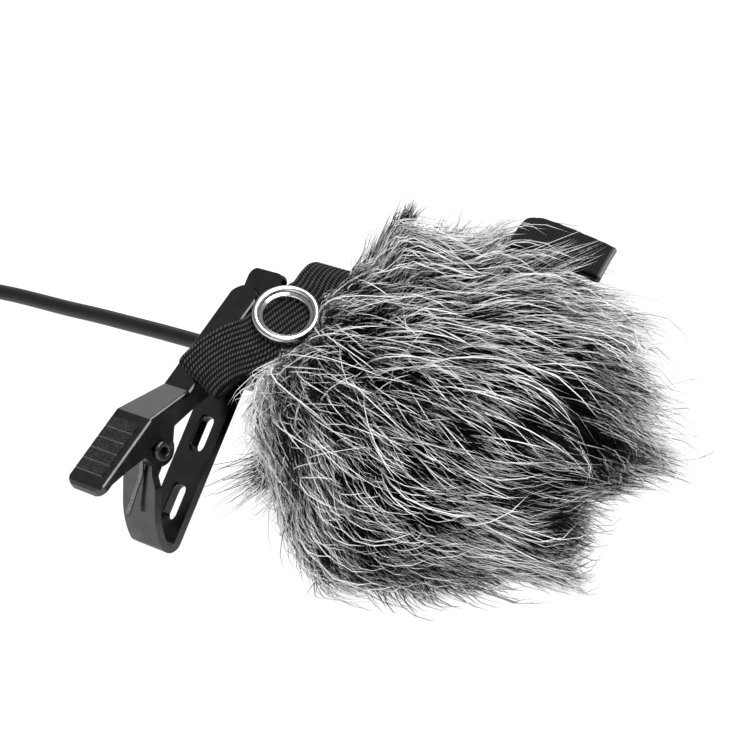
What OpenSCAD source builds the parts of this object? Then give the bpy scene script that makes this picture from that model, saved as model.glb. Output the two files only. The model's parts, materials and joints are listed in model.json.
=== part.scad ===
// Lavalier microphone on a sprung tie clip, under a furry windscreen.
// Millimetres, +Z up, standing on z = 0. +X runs along the microphone from its
// cable to the far end of the windscreen. The clip is drawn in a frame of its
// own: x along the pivot pin, y up the blade to its tip at y = 0, z from the
// blade's front face towards the lever. stand() leans that frame back.

/* [Clip base] */
// Width of the base strip
strip_w = 7.75; // [7:0.05:9]
// Thickness of the base strip
strip_t = 1.2; // [0.9:0.1:1.4]
// Length of the blade, from its tip to the centre of the bottom bend
blade_len = 43.9; // [42:0.1:48]
// Lean of the blade from the horizontal
lean = 59.2; // [50:0.1:70]
// Outer radius of the bottom bend
bend_r = 2.0; // [1.8:0.1:2.6]
// Outer radius of the curved foot of the short leg
foot_r = 14; // [12:0.5:16]
// Length of the straight part of the short leg
leg_len = 6.5; // [5.5:0.1:7.5]
// Width of each slot in the blade
slot_w = 2.9; // [2:0.1:3.6]
// Length of each slot in the blade
slot_len = 5.6; // [4:0.1:6.4]
// Distance between the two slots
slot_pitch = 11.2; // [9:0.1:12]
// Distance from the blade's tip to the upper slot
slot_from_tip = 27; // [25:0.1:28]

/* [Clip lever] */
// Width over the thumb press
press_w = 8.5; // [8.3:0.05:10]
// Width over the jaw
jaw_w = 6.4; // [5.6:0.1:7.2]
// Sheet thickness of the lever
lever_t = 0.9; // [0.7:0.05:1.1]
// Length of the flat jaw
jaw_len = 19.8; // [17:0.1:21]
// Slope of the jaw and of the thumb press to the blade
lever_slope = 17; // [14:0.5:20]
// Length of the thumb press
press_len = 12.4; // [11:0.1:14]
// Number of grip steps down the thumb press
groove_count = 5; // [3:1:5]
// Depth of each grip step
step_deep = 0.3; // [0.15:0.05:0.4]
// Radius of the round ears at the pivot
ear_r = 2.6; // [2.4:0.05:3]
// Radius of the pivot rivet
pivot_r = 1.0; // [0.8:0.05:1.15]

/* [Spring] */
// Wire diameter of the torsion spring
wire_d = 0.7; // [0.5:0.05:0.75]
// Turns of the torsion spring
spring_turns = 3; // [2:1:3]

/* [Microphone] */
// Diameter of the microphone housing
mic_d = 8.3; // [7.5:0.1:9]
// Length of the microphone housing
mic_len = 16; // [14:0.5:20]
// Wall of the microphone housing
mic_wall = 0.6; // [0.4:0.05:0.8]
// Diameter of the electret capsule
capsule_d = 6.0; // [5:0.1:6.2]
// Wall of the holder that grips the housing
holder_wall = 0.8; // [0.6:0.05:1]
// Width of the holder along the housing
holder_w = 6.4; // [5:0.1:7]
// Distance from the blade's tip to the microphone's axis
mic_from_tip = 12.9; // [11:0.1:15]

/* [Windscreen] */
// Largest radius of the fur
fur_r = 27.2; // [26:0.1:32]
// Where the fur begins, from the middle of the clip
fur_start = 14.4; // [14.2:0.1:18]
// Where the fur ends, from the middle of the clip
fur_end = 68.5; // [60:0.5:80]
// Radius of the knitted backing at its widest
backing_r = 14; // [12:0.5:16]
// Outer radius of the gathered neck hem
hem_r = 5.5; // [5.35:0.05:5.65]
// Thickness of the backing cloth
cloth_t = 0.9; // [0.6:0.05:1]

/* [Strap and snap] */
// Width of the elastic strap
strap_w = 9.4; // [8.6:0.1:9.5]
// Thickness of the elastic strap
strap_t = 1.0; // [0.8:0.05:1.1]
// Outer diameter of the open snap ring
ring_d = 10.3; // [9.6:0.1:10.5]
// Width of the snap ring's rim
ring_rim = 1.65; // [1.4:0.05:1.8]
// Height of the snap ring
ring_h = 1.6; // [1.2:0.1:1.8]

/* [Cable and plug] */
// Cable diameter
cable_d = 2.6; // [2.2:0.1:2.6]
// Full turns in the stored coil, four layers deep
coil_turns = 12; // [12:4:16]
// Pitch from turn to turn and from layer to layer
coil_pitch = 3.1; // [3.05:0.05:3.3]
// Diameter of the plug's contacts
plug_d = 3.5; // [3.4:0.01:3.6]
// Diameter of the plug's barrel
barrel_d = 8; // [7:0.1:9]
// Length of the plug's barrel
barrel_len = 17; // [14:0.5:20]

/* [Hidden] */
$fn = 64;
eps = 0.01;
fit_gap = 0.05; // running clearance on a radius
seat_gap = 0.3; // clearance of a soft piece from what carries it

// ---- places in the clip's own frame, as [y, z] --------------------------
bend_c = [-blade_len, bend_r - strip_t];
foot_from = 35; // directions of the foot, in degrees from the blade's normal
foot_to = 62;
foot_a = bend_c + bend_r * [-cos(foot_from), sin(foot_from)];
foot_c = foot_a + foot_r * [cos(foot_from), -sin(foot_from)];
foot_b = foot_c + foot_r * [-cos(foot_to), sin(foot_to)];
leg_dir = [sin(foot_to), cos(foot_to)];
leg_in = [cos(foot_to), -sin(foot_to)];
leg_end = foot_b + leg_len * leg_dir;
pivot = leg_end + 2.7 * leg_dir + 0.8 * leg_in;

// Lever: the tip lies on the blade, the press is carried by the ears.
jaw_lift = 0.1; // the teeth stand this far off the blade
jaw_nose = 1.5; // depth of the jaw's side walls at the tip
jaw_tip = [-3.4, jaw_lift + jaw_nose + lever_t];
slope_dir = [cos(lever_slope), -sin(lever_slope)];
slope_up = [sin(lever_slope), cos(lever_slope)];
knee = jaw_tip - jaw_len * slope_dir;
press_over = 5.0; // height of the press over the pivot
press_top = pivot + press_over * slope_up + 2.1 * slope_dir;
press_end = press_top - press_len * slope_dir;
lip_deep = 1.25; // depth of the press's rounded lip
heel = [knee[0] + 5.2, 0.9]; // where the side walls reach the blade
ear_in = press_w / 2 - lever_t; // inner face of the lever's ears
base_ear_out = ear_in - 0.28;
base_ear_in = base_ear_out - lever_t;

// Microphone: behind the blade, along x.
mic_r = mic_d / 2;
holder_r = mic_r + fit_gap + holder_wall;
saddle_t = 0.4;
mic_c = [-mic_from_tip, -strip_t - saddle_t - holder_r];
mic_back = -7.5;
mic_front = mic_back + mic_len;
grille_len = 3.2;

// ---- the lean, and the middle of the whole as origin --------------------
function leaned(p) = // [x, y, z] in the clip's frame, before centring
    [p[0], p[1] * cos(lean) - p[2] * sin(lean), p[1] * sin(lean) + p[2] * cos(lean)];
axis_yz = [leaned([0, mic_c[0], mic_c[1]])[1], leaned([0, mic_c[0], mic_c[1]])[2]];
floor_z = leaned([0, bend_c[0], bend_c[1]])[2] - bend_r;
boot_len = 5.5;
boot_back = mic_back - boot_len;
press_y = leaned([0, press_end[0], press_end[1]])[1] + 0.046;
mid_x = (boot_back + fur_end) / 2;
mid_y = (axis_yz[0] + fur_r + press_y) / 2;
mic_y = axis_yz[0] - mid_y;
mic_z = axis_yz[1] - floor_z;

module stand() {
    translate([-mid_x, -mid_y, -floor_z]) rotate([lean, 0, 0]) children();
}

module on_axis(x) { // children lie along +X on the microphone's axis, from x
    translate([x - mid_x, mic_y, mic_z]) rotate([0, 90, 0]) children();
}

// ---- general shapes ------------------------------------------------------
module rounded_square(w, h, r) { // w by h, centred
    square([w - 2 * r, h], center = true);
    square([w, h - 2 * r], center = true);
    for (sx = [-1, 1], sy = [-1, 1])
        translate([sx * (w / 2 - r), sy * (h / 2 - r)]) circle(r);
}

module tube(r_out, r_in, h) {
    difference() {
        cylinder(r = r_out, h = h);
        translate([0, 0, -eps]) cylinder(r = r_in, h = h + 2 * eps);
    }
}

function unit(v) = v / norm(v);

module swept(path, sides, r) { // a round tube along a path of points
    n = len(path);
    dirs = [for (i = [0:n - 1])
        unit(path[min(i + 1, n - 1)] - path[max(i - 1, 0)])];
    ups = carried(dirs, [first_up(dirs[0])], 1);
    pts = [for (i = [0:n - 1]) for (k = [0:sides - 1])
        path[i] + r * (cos(360 * k / sides) * ups[i]
            + sin(360 * k / sides) * cross(dirs[i], ups[i]))];
    skin(pts, n, sides);
}

function first_up(d) = unit(cross(cross(d, abs(d[2]) > 0.9 ? [1, 0, 0] : [0, 0, 1]), d));
function carried(dirs, ups, i) = i >= len(dirs) ? ups :
    let (u = ups[i - 1] - (ups[i - 1] * dirs[i]) * dirs[i])
    carried(dirs, concat(ups, [unit(u)]), i + 1);

module skin(pts, n, sides) { // rings of points joined into a closed body
    walls = [for (i = [0:n - 2]) for (k = [0:sides - 1])
        let (a = i * sides + k, b = i * sides + (k + 1) % sides)
        each [[a, a + sides, b], [b, a + sides, b + sides]]];
    ends = [for (k = [1:sides - 2])
        each [[0, k, k + 1],
            [(n - 1) * sides, (n - 1) * sides + k + 1, (n - 1) * sides + k]]];
    polyhedron(pts, concat(walls, ends));
}

// A smooth curve through points: each span has steps points.
function through(p, steps) = concat(
    [for (i = [0:len(p) - 2]) for (s = [0:steps - 1])
        let (t = s / steps, a = p[max(i - 1, 0)], b = p[i], c = p[i + 1],
            d = p[min(i + 2, len(p) - 1)])
        0.5 * (2 * b + (c - a) * t + (2 * a - 5 * b + 4 * c - d) * t * t
            + (3 * b - a - 3 * c + d) * t * t * t)],
    [p[len(p) - 1]]);

// ---- clip base -----------------------------------------------------------
module sector(c, r_out, r_in, a0, a1) { // part of a ring between two angles
    reach = 2 * r_out;
    steps = 4;
    translate(c) intersection() {
        difference() {
            circle(r_out);
            circle(r_in);
        }
        polygon(concat([[0, 0]], [for (i = [0:steps])
            let (a = a0 + (a1 - a0) * i / steps) reach * [cos(a), sin(a)]]));
    }
}

module across(w) { // an outline in [y, z] made w wide, centred on x
    rotate([90, 0, 90]) translate([0, 0, -w / 2]) linear_extrude(w) children();
}

module clip_base() {
    ear_low = leg_end - 1.6 * leg_dir;
    tip_round = 1.6;
    lap = 0.04; // bends and flats run into each other by this much
    color("#17181a") stand() difference() {
        union() {
            // blade, with rounded corners at its tip
            translate([0, 0, -strip_t]) linear_extrude(strip_t) difference() {
                union() {
                    translate([-strip_w / 2, -blade_len - lap])
                        square([strip_w, blade_len + lap - tip_round]);
                    translate([-strip_w / 2 + tip_round, -2 * tip_round])
                        square([strip_w - 2 * tip_round, 2 * tip_round]);
                    for (s = [-1, 1])
                        translate([s * (strip_w / 2 - tip_round), -tip_round]) circle(tip_round);
                }
                for (k = [0, 1])
                    translate([0, -slot_from_tip - k * slot_pitch])
                        rounded_square(slot_w, slot_len, 1.1);
            }
            // drawn lips behind the slots
            for (k = [0, 1])
                translate([0, -slot_from_tip - k * slot_pitch, -strip_t - 0.5])
                    linear_extrude(0.5 + eps) difference() {
                        rounded_square(slot_w + 1.2, slot_len + 1.2, 1.7);
                        rounded_square(slot_w, slot_len, 1.1);
                    }
            // bottom bend, curved foot and straight leg
            across(strip_w) {
                sector(bend_c, bend_r, bend_r - strip_t, 180 - foot_from, 270);
                sector(foot_c, foot_r, foot_r - strip_t, 180 - foot_to - 0.1, 180 - foot_from + 0.1);
            }
            translate([0, foot_b[0], foot_b[1]]) rotate([90 - foot_to, 0, 0])
                translate([0, 0, -strip_t]) linear_extrude(strip_t) leg_front(-lap);
            // ears that carry the pivot
            for (s = [-1, 1])
                translate([s * (base_ear_in + base_ear_out) / 2, 0, 0])
                    across(base_ear_out - base_ear_in) union() {
                        translate(pivot) circle(ear_r);
                        polygon([ear_low, leg_end, pivot - ear_r * leg_in,
                            pivot + ear_r * leg_in, ear_low + 1.1 * strip_t * leg_in]);
                    }
        }
        translate([0, pivot[0], pivot[1]]) rotate([0, 90, 0])
            cylinder(r = pivot_r + fit_gap, h = strip_w * 2, center = true);
        translate([0, mic_c[0], -strip_t - 1]) cylinder(r = rivet_r + fit_gap, h = strip_t + 2);
        // eased mouths of the slots
        for (k = [0, 1])
            translate([0, -slot_from_tip - k * slot_pitch, -0.3])
                linear_extrude(1) rounded_square(slot_w + 0.5, slot_len + 0.5, 1.35);
    }
}

module leg_front(from) { // the straight leg, drawn in to the ears' width
    steps = 6;
    half = strip_w / 2;
    edge = concat([[half, from], [half, leg_len - 3.4]],
        [for (i = [1:steps]) let (t = i / steps)
            [half + (base_ear_out - half) * t * t * (3 - 2 * t), leg_len - 3.4 + 2.4 * t]],
        [[base_ear_out, leg_len]]);
    polygon(concat(edge, [for (i = [len(edge) - 1:-1:0]) [-edge[i][0], edge[i][1]]]));
}

// ---- clip lever ----------------------------------------------------------
shoulder_r = 0.65; // rounding along the lever's top edges

module lever_slice(p, dir, w, deep, inset) { // a thin cross-section at [y, z]
    r = shoulder_r - inset * 0.5;
    translate([0, p[0], p[1]]) rotate([atan2(dir[1], dir[0]), 0, 0])
        rotate([90, 0, 0]) linear_extrude(eps, center = true)
            translate([0, -inset]) {
                translate([-(w / 2 - inset), -deep]) square([w - 2 * inset, deep - r]);
                translate([-(w / 2 - inset - r), -deep]) square([w - 2 * inset - 2 * r, deep]);
                for (s = [-1, 1]) translate([s * (w / 2 - inset - r), -r]) circle(r, $fn = 32);
            }
}

module lever_body(inset) { // the bent channel, filled below
    deep = 12;
    mid_dir = unit(knee - press_top);
    top_dir = unit(slope_dir + mid_dir);
    knee_dir = unit(slope_dir + mid_dir);
    reach = inset > 0 ? 3 : 0;
    stop = inset > 0 ? 0.3 : 0; // the hollow ends short of the press's lip
    hull() {
        lever_slice(jaw_tip + reach * slope_dir, slope_dir, jaw_w, deep, inset);
        lever_slice(knee, knee_dir, jaw_w, deep, inset);
    }
    hull() {
        lever_slice(knee, knee_dir, jaw_w, deep, inset);
        lever_slice(press_top, top_dir, press_w, deep, inset);
    }
    hull() {
        lever_slice(press_top, top_dir, press_w, deep, inset);
        lever_slice(press_end + stop * slope_dir, slope_dir, press_w, deep, inset);
    }
}

module lever_outline() { // side view of the lever's walls
    ear_front = pivot + [4.1, -0.9];
    low = 2.1; // depth of the walls under the press
    polygon([
        jaw_tip + [0.6, 1], knee + [0, 3], press_top + [1, 3], press_end + 3 * slope_up,
        press_end - 2 * slope_dir + 3 * slope_up, press_end - 2 * slope_dir - lip_deep * slope_up,
        press_end + 1.2 * slope_dir - lip_deep * slope_up,
        press_end + 4.2 * slope_dir - low * slope_up,
        pivot - ear_r * slope_dir + 1.6 * slope_up,
        pivot - ear_r * slope_dir, pivot + [0, -ear_r * 0.9], pivot + [2.2, -1.6],
        ear_front, heel, [jaw_tip[0] - 6, jaw_lift + 0.35],
        for (k = [0:3]) each [[jaw_tip[0] - 5.2 + k * 1.3, jaw_lift + 0.6],
            [jaw_tip[0] - 4.6 + k * 1.3, jaw_lift]],
        [jaw_tip[0] + 0.6, jaw_lift + 0.3]
    ]);
    translate(pivot) circle(ear_r);
}

module lever_plan() { // rounded jaw seen from above
    nose = jaw_w / 2;
    translate([-press_w, jaw_tip[0] - nose - 60]) square([2 * press_w, 60]);
    translate([0, jaw_tip[0] - nose]) circle(nose);
}

module clip_lever() {
    step_pitch = 1.95;
    step_from = 1.35; // from the press's bend to the first step's foot
    // the lip's rings: distance past the end, drop, and loss of width
    lip_steps = [[0, 0, 0], [0.6, 0.12, 0.5], [1.1, 0.45, 1.5], [1.4, 1.0, 2.9]];
    color("#141517") stand() difference() {
        intersection() {
            difference() {
                union() {
                    lever_body(0);
                    hull() for (q = lip_steps)
                        lever_slice(press_end - q[0] * slope_dir - q[1] * slope_up,
                            slope_dir, press_w - q[2], lip_deep + 0.4 - q[1], 0);
                }
                lever_body(lever_t);
            }
            across(press_w + 2) lever_outline();
            translate([0, 0, -5]) linear_extrude(60) lever_plan();
        }
        translate([0, pivot[0], pivot[1]]) rotate([0, 90, 0])
            cylinder(r = pivot_r + fit_gap, h = press_w * 2, center = true);
        // saw-tooth steps, open at one side of the press
        translate([-press_w / 2 - 1, press_top[0], press_top[1]]) rotate([-lever_slope, 0, 0])
            rotate([90, 0, 90]) linear_extrude(press_w - 0.4)
                for (k = [0:groove_count - 1])
                    translate([-step_from - k * step_pitch, 0])
                        polygon([[0, 0.6], [0, 0], [-step_pitch, -step_deep],
                            [-step_pitch + 0.03, 0.6]]);
    }
}

// ---- pivot and spring ----------------------------------------------------
module pivot_rivet() { // a tubular rivet with rolled ends
    wall = 0.3;
    head = press_w / 2 + 0.44; // middle of each rolled end
    color("#1b1c1e") stand() translate([0, pivot[0], pivot[1]]) rotate([0, 90, 0])
        difference() {
            union() {
                cylinder(r = pivot_r, h = 2 * head, center = true);
                for (s = [-1, 1])
                    translate([0, 0, s * head]) rotate_extrude()
                        translate([pivot_r + 0.15, 0]) circle(0.42, $fn = 24);
                for (s = [-1, 1])
                    translate([0, 0, s * head]) cylinder(r = pivot_r + 0.1, h = 0.5, center = true);
            }
            cylinder(r = pivot_r - wall, h = 2 * head + 4, center = true);
        }
}

spring_r = pivot_r + 0.35 + wire_d / 2; // middle of the wire
spring_pitch = wire_d + 0.42;
spring_half = spring_turns * spring_pitch / 2;
leg_gap = 0.06; // the lower leg stands off the clip's short leg

// The coil's points, from the lower leg (at +x) to the upper leg (at -x).
spring_from = foot_to - 90; // both legs leave the coil as tangents
spring_to = 360 * spring_turns + 90 - lever_slope - 360;
function spring_at(a) = [
    spring_half - 2 * spring_half * (a - spring_from) / (spring_to + 360 - spring_from),
    pivot[0] + spring_r * sin(a), pivot[1] + spring_r * cos(a)];

module torsion_spring() {
    rings = 8 * spring_turns;
    last = spring_to + 360;
    // the lower leg slants over the short leg's outer face and lifts off it
    stand_off = leg_gap + wire_d / 2;
    low_a = leg_end - 1.2 * leg_dir - stand_off * leg_in;
    low_b = leg_end - 8.3 * leg_dir - (stand_off + 1.0) * leg_in;
    // end of the upper leg, under the press
    high_b = pivot + (press_over - lever_t - leg_gap - wire_d / 2) * slope_up - 6.5 * slope_dir;
    coil = [for (i = [0:rings]) spring_at(spring_from + (last - spring_from) * i / rings)];
    path = concat(
        [[-0.5 * spring_half, low_b[0], low_b[1]], [0.7 * spring_half, low_a[0], low_a[1]]],
        coil,
        [[-spring_half, high_b[0], high_b[1]]]);
    color("#202124") stand() swept(path, 6, wire_d / 2);
}

// ---- microphone ----------------------------------------------------------
rivet_r = 0.85;

module mic_holder() { // open band that grips the housing, on a flat saddle
    mouth = 50; // degrees left open, away from the blade
    color("#17181a") stand() difference() {
        union() {
            translate([-holder_w / 2, mic_c[0], mic_c[1]]) rotate([0, 90, 0])
                cylinder(r = holder_r, h = holder_w);
            translate([-holder_w / 2, mic_c[0] - 2.5, mic_c[1]])
                cube([holder_w, 5, holder_r + saddle_t]);
        }
        translate([-holder_w, mic_c[0], mic_c[1]]) rotate([0, 90, 0])
            cylinder(r = mic_r + fit_gap, h = 2 * holder_w);
        translate([0, mic_c[0], mic_c[1]]) across(2 * holder_w)
            polygon([[0, 0], 2 * holder_r * [-sin(mouth / 2), -cos(mouth / 2)],
                2 * holder_r * [sin(mouth / 2), -cos(mouth / 2)]]);
        translate([0, mic_c[0], mic_c[1]]) cylinder(r = rivet_r + fit_gap, h = 2 * holder_r);
    }
}

module holder_rivet() {
    top = 0.55;
    color("#1b1c1e") stand() translate([0, mic_c[0], 0]) {
        translate([0, 0, -strip_t - saddle_t - holder_wall * 0.8])
            cylinder(r = rivet_r, h = strip_t + saddle_t + holder_wall * 0.8 + eps);
        cylinder(r = 1.6, h = top * 0.6);
        translate([0, 0, top * 0.6]) cylinder(r1 = 1.6, r2 = 1.2, h = top * 0.4);
    }
}

module mic_housing() { // a turned shell, open at the front, with a rear neck
    neck_r = 2.6;
    color("#1a1b1d") on_axis(mic_back) rotate_extrude() difference() {
        polygon([[0, 0], [mic_r - 0.5, 0], [mic_r, 0.5], [mic_r, mic_len - 0.4],
            [mic_r - 0.25, mic_len], [0, mic_len]]);
        polygon([[0, -1], [cable_d / 2 + fit_gap, -1], [cable_d / 2 + fit_gap, 1.2],
            [neck_r, 1.2], [mic_r - mic_wall, 3.4], [mic_r - mic_wall, mic_len + 1],
            [0, mic_len + 1]]);
    }
}

module mic_grille() { // perforated cap over the capsule
    rim = 0.35;
    plug_r = mic_r - mic_wall - fit_gap;
    hole_r = 0.42;
    color("#232427") on_axis(mic_front) difference() {
        union() {
            rotate_extrude() polygon([[0, 0], [mic_r - 0.25, 0], [mic_r - 0.25, grille_len - 1],
                [mic_r - 1.1, grille_len], [0, grille_len]]);
            translate([0, 0, -1.6]) cylinder(r = plug_r, h = 1.7);
        }
        translate([0, 0, -2]) cylinder(r = plug_r - 0.4, h = grille_len + 2 - rim);
        for (ring = [0:3]) for (k = [0:max(ring * 6 - 1, 0)])
            rotate(k * 60 / max(ring, 1)) translate([ring * 0.92, 0, grille_len - 1])
                cylinder(r = hole_r / 1.4, h = 2);
    }
}

module dust_felt() {
    color("#303030") on_axis(mic_front + grille_len - 1.25)
        cylinder(r = mic_r - mic_wall - 0.55, h = 0.8);
}

capsule_len = 4.6;
capsule_front = mic_front - 1.8;

module capsule() { // electret capsule with a crimped edge and a sound port
    r = capsule_d / 2;
    color("silver") on_axis(capsule_front - capsule_len) rotate_extrude()
        polygon([[0, 0], [r - 0.3, 0], [r, 0.3], [r, capsule_len - 0.3], [r - 0.3, capsule_len],
            [0.9, capsule_len], [0.9, capsule_len - 0.4], [0, capsule_len - 0.4]]);
}

module capsule_gasket() { // rubber sleeve between the capsule and the housing
    color("#2a2a2a") on_axis(capsule_front - capsule_len + 0.4)
        tube(mic_r - mic_wall - 0.02, capsule_d / 2 + 0.02, capsule_len - 0.8);
}

module circuit_board() { // round board behind the capsule, with its parts
    r = mic_r - mic_wall - 0.15;
    board_t = 0.8;
    color("#2f6b3a") on_axis(capsule_front - capsule_len - board_t) {
        cylinder(r = r, h = board_t);
        translate([-1.1, -0.6, -0.7]) cube([2.2, 1.2, 0.7 + eps]);
        translate([0.4, 1.1, -0.5]) cube([1, 0.6, 0.5 + eps]);
    }
}

module cable_boot() { // tapered strain relief with grip rings
    rings = 3;
    color("#111111") on_axis(boot_back) rotate_extrude() difference() {
        union() {
            polygon([[0, 0], [1.75, 0], [2.9, boot_len - 0.6], [2.9, boot_len], [0, boot_len]]);
            for (k = [0:rings - 1])
                translate([0, 0.9 + k * 1.4]) square([2.25 + k * 0.28, 0.7]);
        }
        translate([-1, -1]) square([1 + cable_d / 2 + fit_gap, boot_len + 2]);
    }
}

// ---- windscreen ----------------------------------------------------------
liner_r = hem_r - cloth_t - 0.05;
liner_from = 4.9;
liner_to = mic_front + grille_len + 14;

module foam_liner() { // open-cell sleeve with the pocket for the microphone
    color("#4a4a4a") on_axis(liner_from) difference() {
        union() {
            cylinder(r = liner_r, h = liner_to - liner_from);
            translate([0, 0, liner_to - liner_from]) sphere(liner_r, $fn = 48);
        }
        translate([0, 0, -1]) cylinder(r = mic_r + fit_gap, h = mic_front + grille_len - liner_from + 1.4);
    }
}

// Profile of a soft body of revolution, from a neck radius to its widest.
function swell(x, from, to, neck, wide, fullest) =
    let (m = from + (to - from) * fullest, t = (x - from) / (m - from))
    t < 1 ? neck + (wide - neck) * (1.4 * t - 0.4 * t * t * t)
        : wide * sqrt(max(0, 1 - pow((x - m) / (to - m), 2)));

function swelled(from, to, neck, wide, fullest, n) = [
    for (i = [0:n]) let (t = i / n, x = from + (to - from) * (t < 0.5 ? t : 1 - pow(2 * (1 - t), 2) / 2))
        [max(swell(x, from, to, neck, wide, fullest), i == n ? 0 : 0.02), x]];

backing_to = fur_end - 19;

module backing_shape(grow) {
    rotate_extrude($fn = 64) polygon(concat([[0, fur_start]],
        [for (p = swelled(fur_start, backing_to, hem_r, backing_r, 0.45, 20))
            [p[0] + (p[1] > backing_to - 0.01 ? 0 : grow), p[1]]]));
}

module knit_backing() { // the cloth shell that the pile grows from
    color("#1a1a1a") on_axis(0) difference() {
        backing_shape(0);
        rotate_extrude($fn = 64) polygon(concat([[0, fur_start - 1]],
            [[liner_r + 0.3, fur_start - 1]],
            [for (p = swelled(fur_start, backing_to - cloth_t, liner_r + 0.3, backing_r - cloth_t, 0.45, 20)) p]));
    }
}

module neck_hem() { // gathered elastic hem round the liner
    hem_from = liner_from + 0.1;
    color("#161616") on_axis(hem_from)
        tube(hem_r, hem_r - cloth_t, fur_start - hem_from);
}

// Lobes of the pile: a direction over its broad side, in degrees, and how far
// the pile stands out there or is drawn in.
pile_lobes = [[0, 2.1], [14, 1.6], [27, 2.7], [41, -0.5], [60, -0.5], [74, -0.3], [85, -2.7],
    [95, -1.9], [110, 0.5], [125, -1.1], [145, 0], [195, 0], [214, 1.6], [232, 1.3],
    [246, -1.1], [262, -2], [284, -2], [298, -0.5], [308, 1.3], [318, -2.7], [329, -4.3],
    [341, -0.5], [351, 2.7], [360, 2.1]];
pile_mid = (fur_start + fur_end) / 2 + 0.3; // middle of the lobes, from the middle of the clip
broad_right = [0.682, 0.7314, 0]; // two directions across the broad side
broad_up = [-0.2016, 0.188, 0.9613];

function lobed(p) = // a point of the round pile, from its middle, moved out to its lobe
    let (a = p * broad_right, b = p * broad_up, far = norm([a, b]),
        out = lookup((atan2(b, a) + 360) % 360, pile_lobes) * pow(far / fur_r, 2.5))
    p + out / max(far, eps) * (a * broad_right + b * broad_up);

module pile_shape() {
    sides = 48;
    profile = swelled(fur_start + 0.2, fur_end, hem_r + 2.2, fur_r, 0.48, 28);
    points = [for (p = profile) for (k = [0:sides - 1]) let (a = 360 * k / sides, r = max(p[0], 0.05))
        lobed([p[1] - pile_mid, r * cos(a), r * sin(a)])];
    translate([pile_mid - mid_x, mic_y, mic_z]) skin(points, len(profile), sides);
}

module fur_pile() { // the body of the pile, pressed flat where it lies
    color("#6a6a6a") intersection() {
        difference() {
            pile_shape();
            on_axis(0) rotate_extrude($fn = 64) polygon(concat([[0, fur_start - 1], [hem_r + 0.1, fur_start - 1]],
                [for (p = swelled(fur_start, backing_to + 0.1, hem_r + 0.1, backing_r + 0.1, 0.45, 20)) p]));
        }
        translate([-100, -100, 0]) cube([200, 200, 100]);
        difference() {
            translate([-100, -100, -100]) cube(200 * [1, 1, 1]);
            on_tab() tab_shape(seat_gap);
        }
    }
}

tab_root = [45.6, 8, 27.3]; // bend of the tab, from the microphone's axis
tab_len = 14.5;
tab_w = 9;
tab_fold = 0.8; // thickness of one of the tab's two layers
tab_stem = 16.6; // from the bend down to the backing
tab_turn = [14, 15, 31];

module on_tab() { // children have the tab's bend at their origin
    translate([tab_root[0] - mid_x, mic_y + tab_root[1], mic_z + tab_root[2]])
        rotate(tab_turn) children();
}

module tab_shape(grow) {
    w = tab_w + 2 * grow;
    r = tab_fold + grow;
    translate([0, -w / 2, 0]) {
        translate([-r, 0, -tab_stem - grow]) cube([2 * r, w, tab_stem + grow]);
        translate([0, 0, -r]) cube([tab_len - tab_fold, w, 2 * r]);
        for (x = [0, tab_len - tab_fold])
            translate([x, 0, 0]) rotate([-90, 0, 0]) cylinder(r = r, h = w);
    }
}

module label_tab() { // folded loop of tape, sewn into the backing
    color("#101010") on_tab() tab_shape(0);
}

// ---- strap and snap ------------------------------------------------------
ring_c = [10.83, -6.37, 3.0]; // middle of the snap ring, in the clip's frame
ring_n = unit([0.48, 0.42, 0.77]);
strap_run = unit([0.131, 0.836, -0.534]); // the strap's way under the ring
strap_mid = ring_c - (ring_h / 2 + strap_t / 2 + 0.05) * ring_n;
socket_h = 0.65;
stud_h = 0.5;
under_mid = strap_mid - (strap_t + socket_h + stud_h + 0.2) * ring_n;
loop_r = hem_r + 0.5 + strap_t / 2; // the strap's middle, round the neck
tail_wide = unit([0.909, -0.361, -0.208]);
snap_wide = cross(strap_run, ring_n);

// Middle line and width direction of the strap, from its folded tail over the
// snap, over the free loop and round the neck to the end under the snap.
strap_line = [
    [[6.6, -14.6, 5.9], tail_wide], [[5.4, -17.1, 6.85], tail_wide],
    [[4.4, -19.5, 7.5], tail_wide], [[4.2, -20.2, 8.1], tail_wide],
    [[4.5, -19.7, 8.8], tail_wide], [[5.6, -17.2, 8.3], tail_wide],
    [[7.1, -14.6, 7.05], unit(tail_wide + snap_wide)],
    [strap_mid - 5.6 * strap_run, snap_wide], [strap_mid, snap_wide],
    [strap_mid + 5.6 * strap_run, snap_wide],
    [[10.3, 1.1, -2.3], [1, -0.15, -0.2]], [[9.8, 2.9, -3.6], [1, -0.1, -0.1]],
    [[9.3, 3.7, -5.4], [1, 0, 0]], [[9.3, 2.9, -7.7], [1, 0, 0]],
    [[9.3, -0.3, -10.4], [1, 0, 0]], [[9.3, -5.0, -12.6], [1, 0, 0]],
    for (a = [-75:-30:-255]) [[9.3, mic_c[0] + loop_r * cos(a), mic_c[1] + loop_r * sin(a)], [1, 0, 0]],
    [under_mid - 6.2 * strap_run - 1.2 * ring_n + [0.45, 0, 0], unit([1, 0, 0] + snap_wide)],
    [under_mid - 4.4 * strap_run, snap_wide],
    [under_mid, snap_wide], [under_mid + 4.8 * strap_run, snap_wide]
];

module elastic_strap() {
    n = len(strap_line);
    mids = [for (s = strap_line) s[0]];
    pts = [for (i = [0:n - 1])
        let (d = unit(mids[min(i + 1, n - 1)] - mids[max(i - 1, 0)]),
            w0 = unit(strap_line[i][1]), w = unit(w0 - (w0 * d) * d), up = cross(w, d))
        each [mids[i] - w * strap_w / 2 + up * strap_t / 2, mids[i] + w * strap_w / 2 + up * strap_t / 2,
            mids[i] + w * strap_w / 2 - up * strap_t / 2, mids[i] - w * strap_w / 2 - up * strap_t / 2]];
    color("#0d0d0d") stand() skin(pts, n, 4);
}

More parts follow.
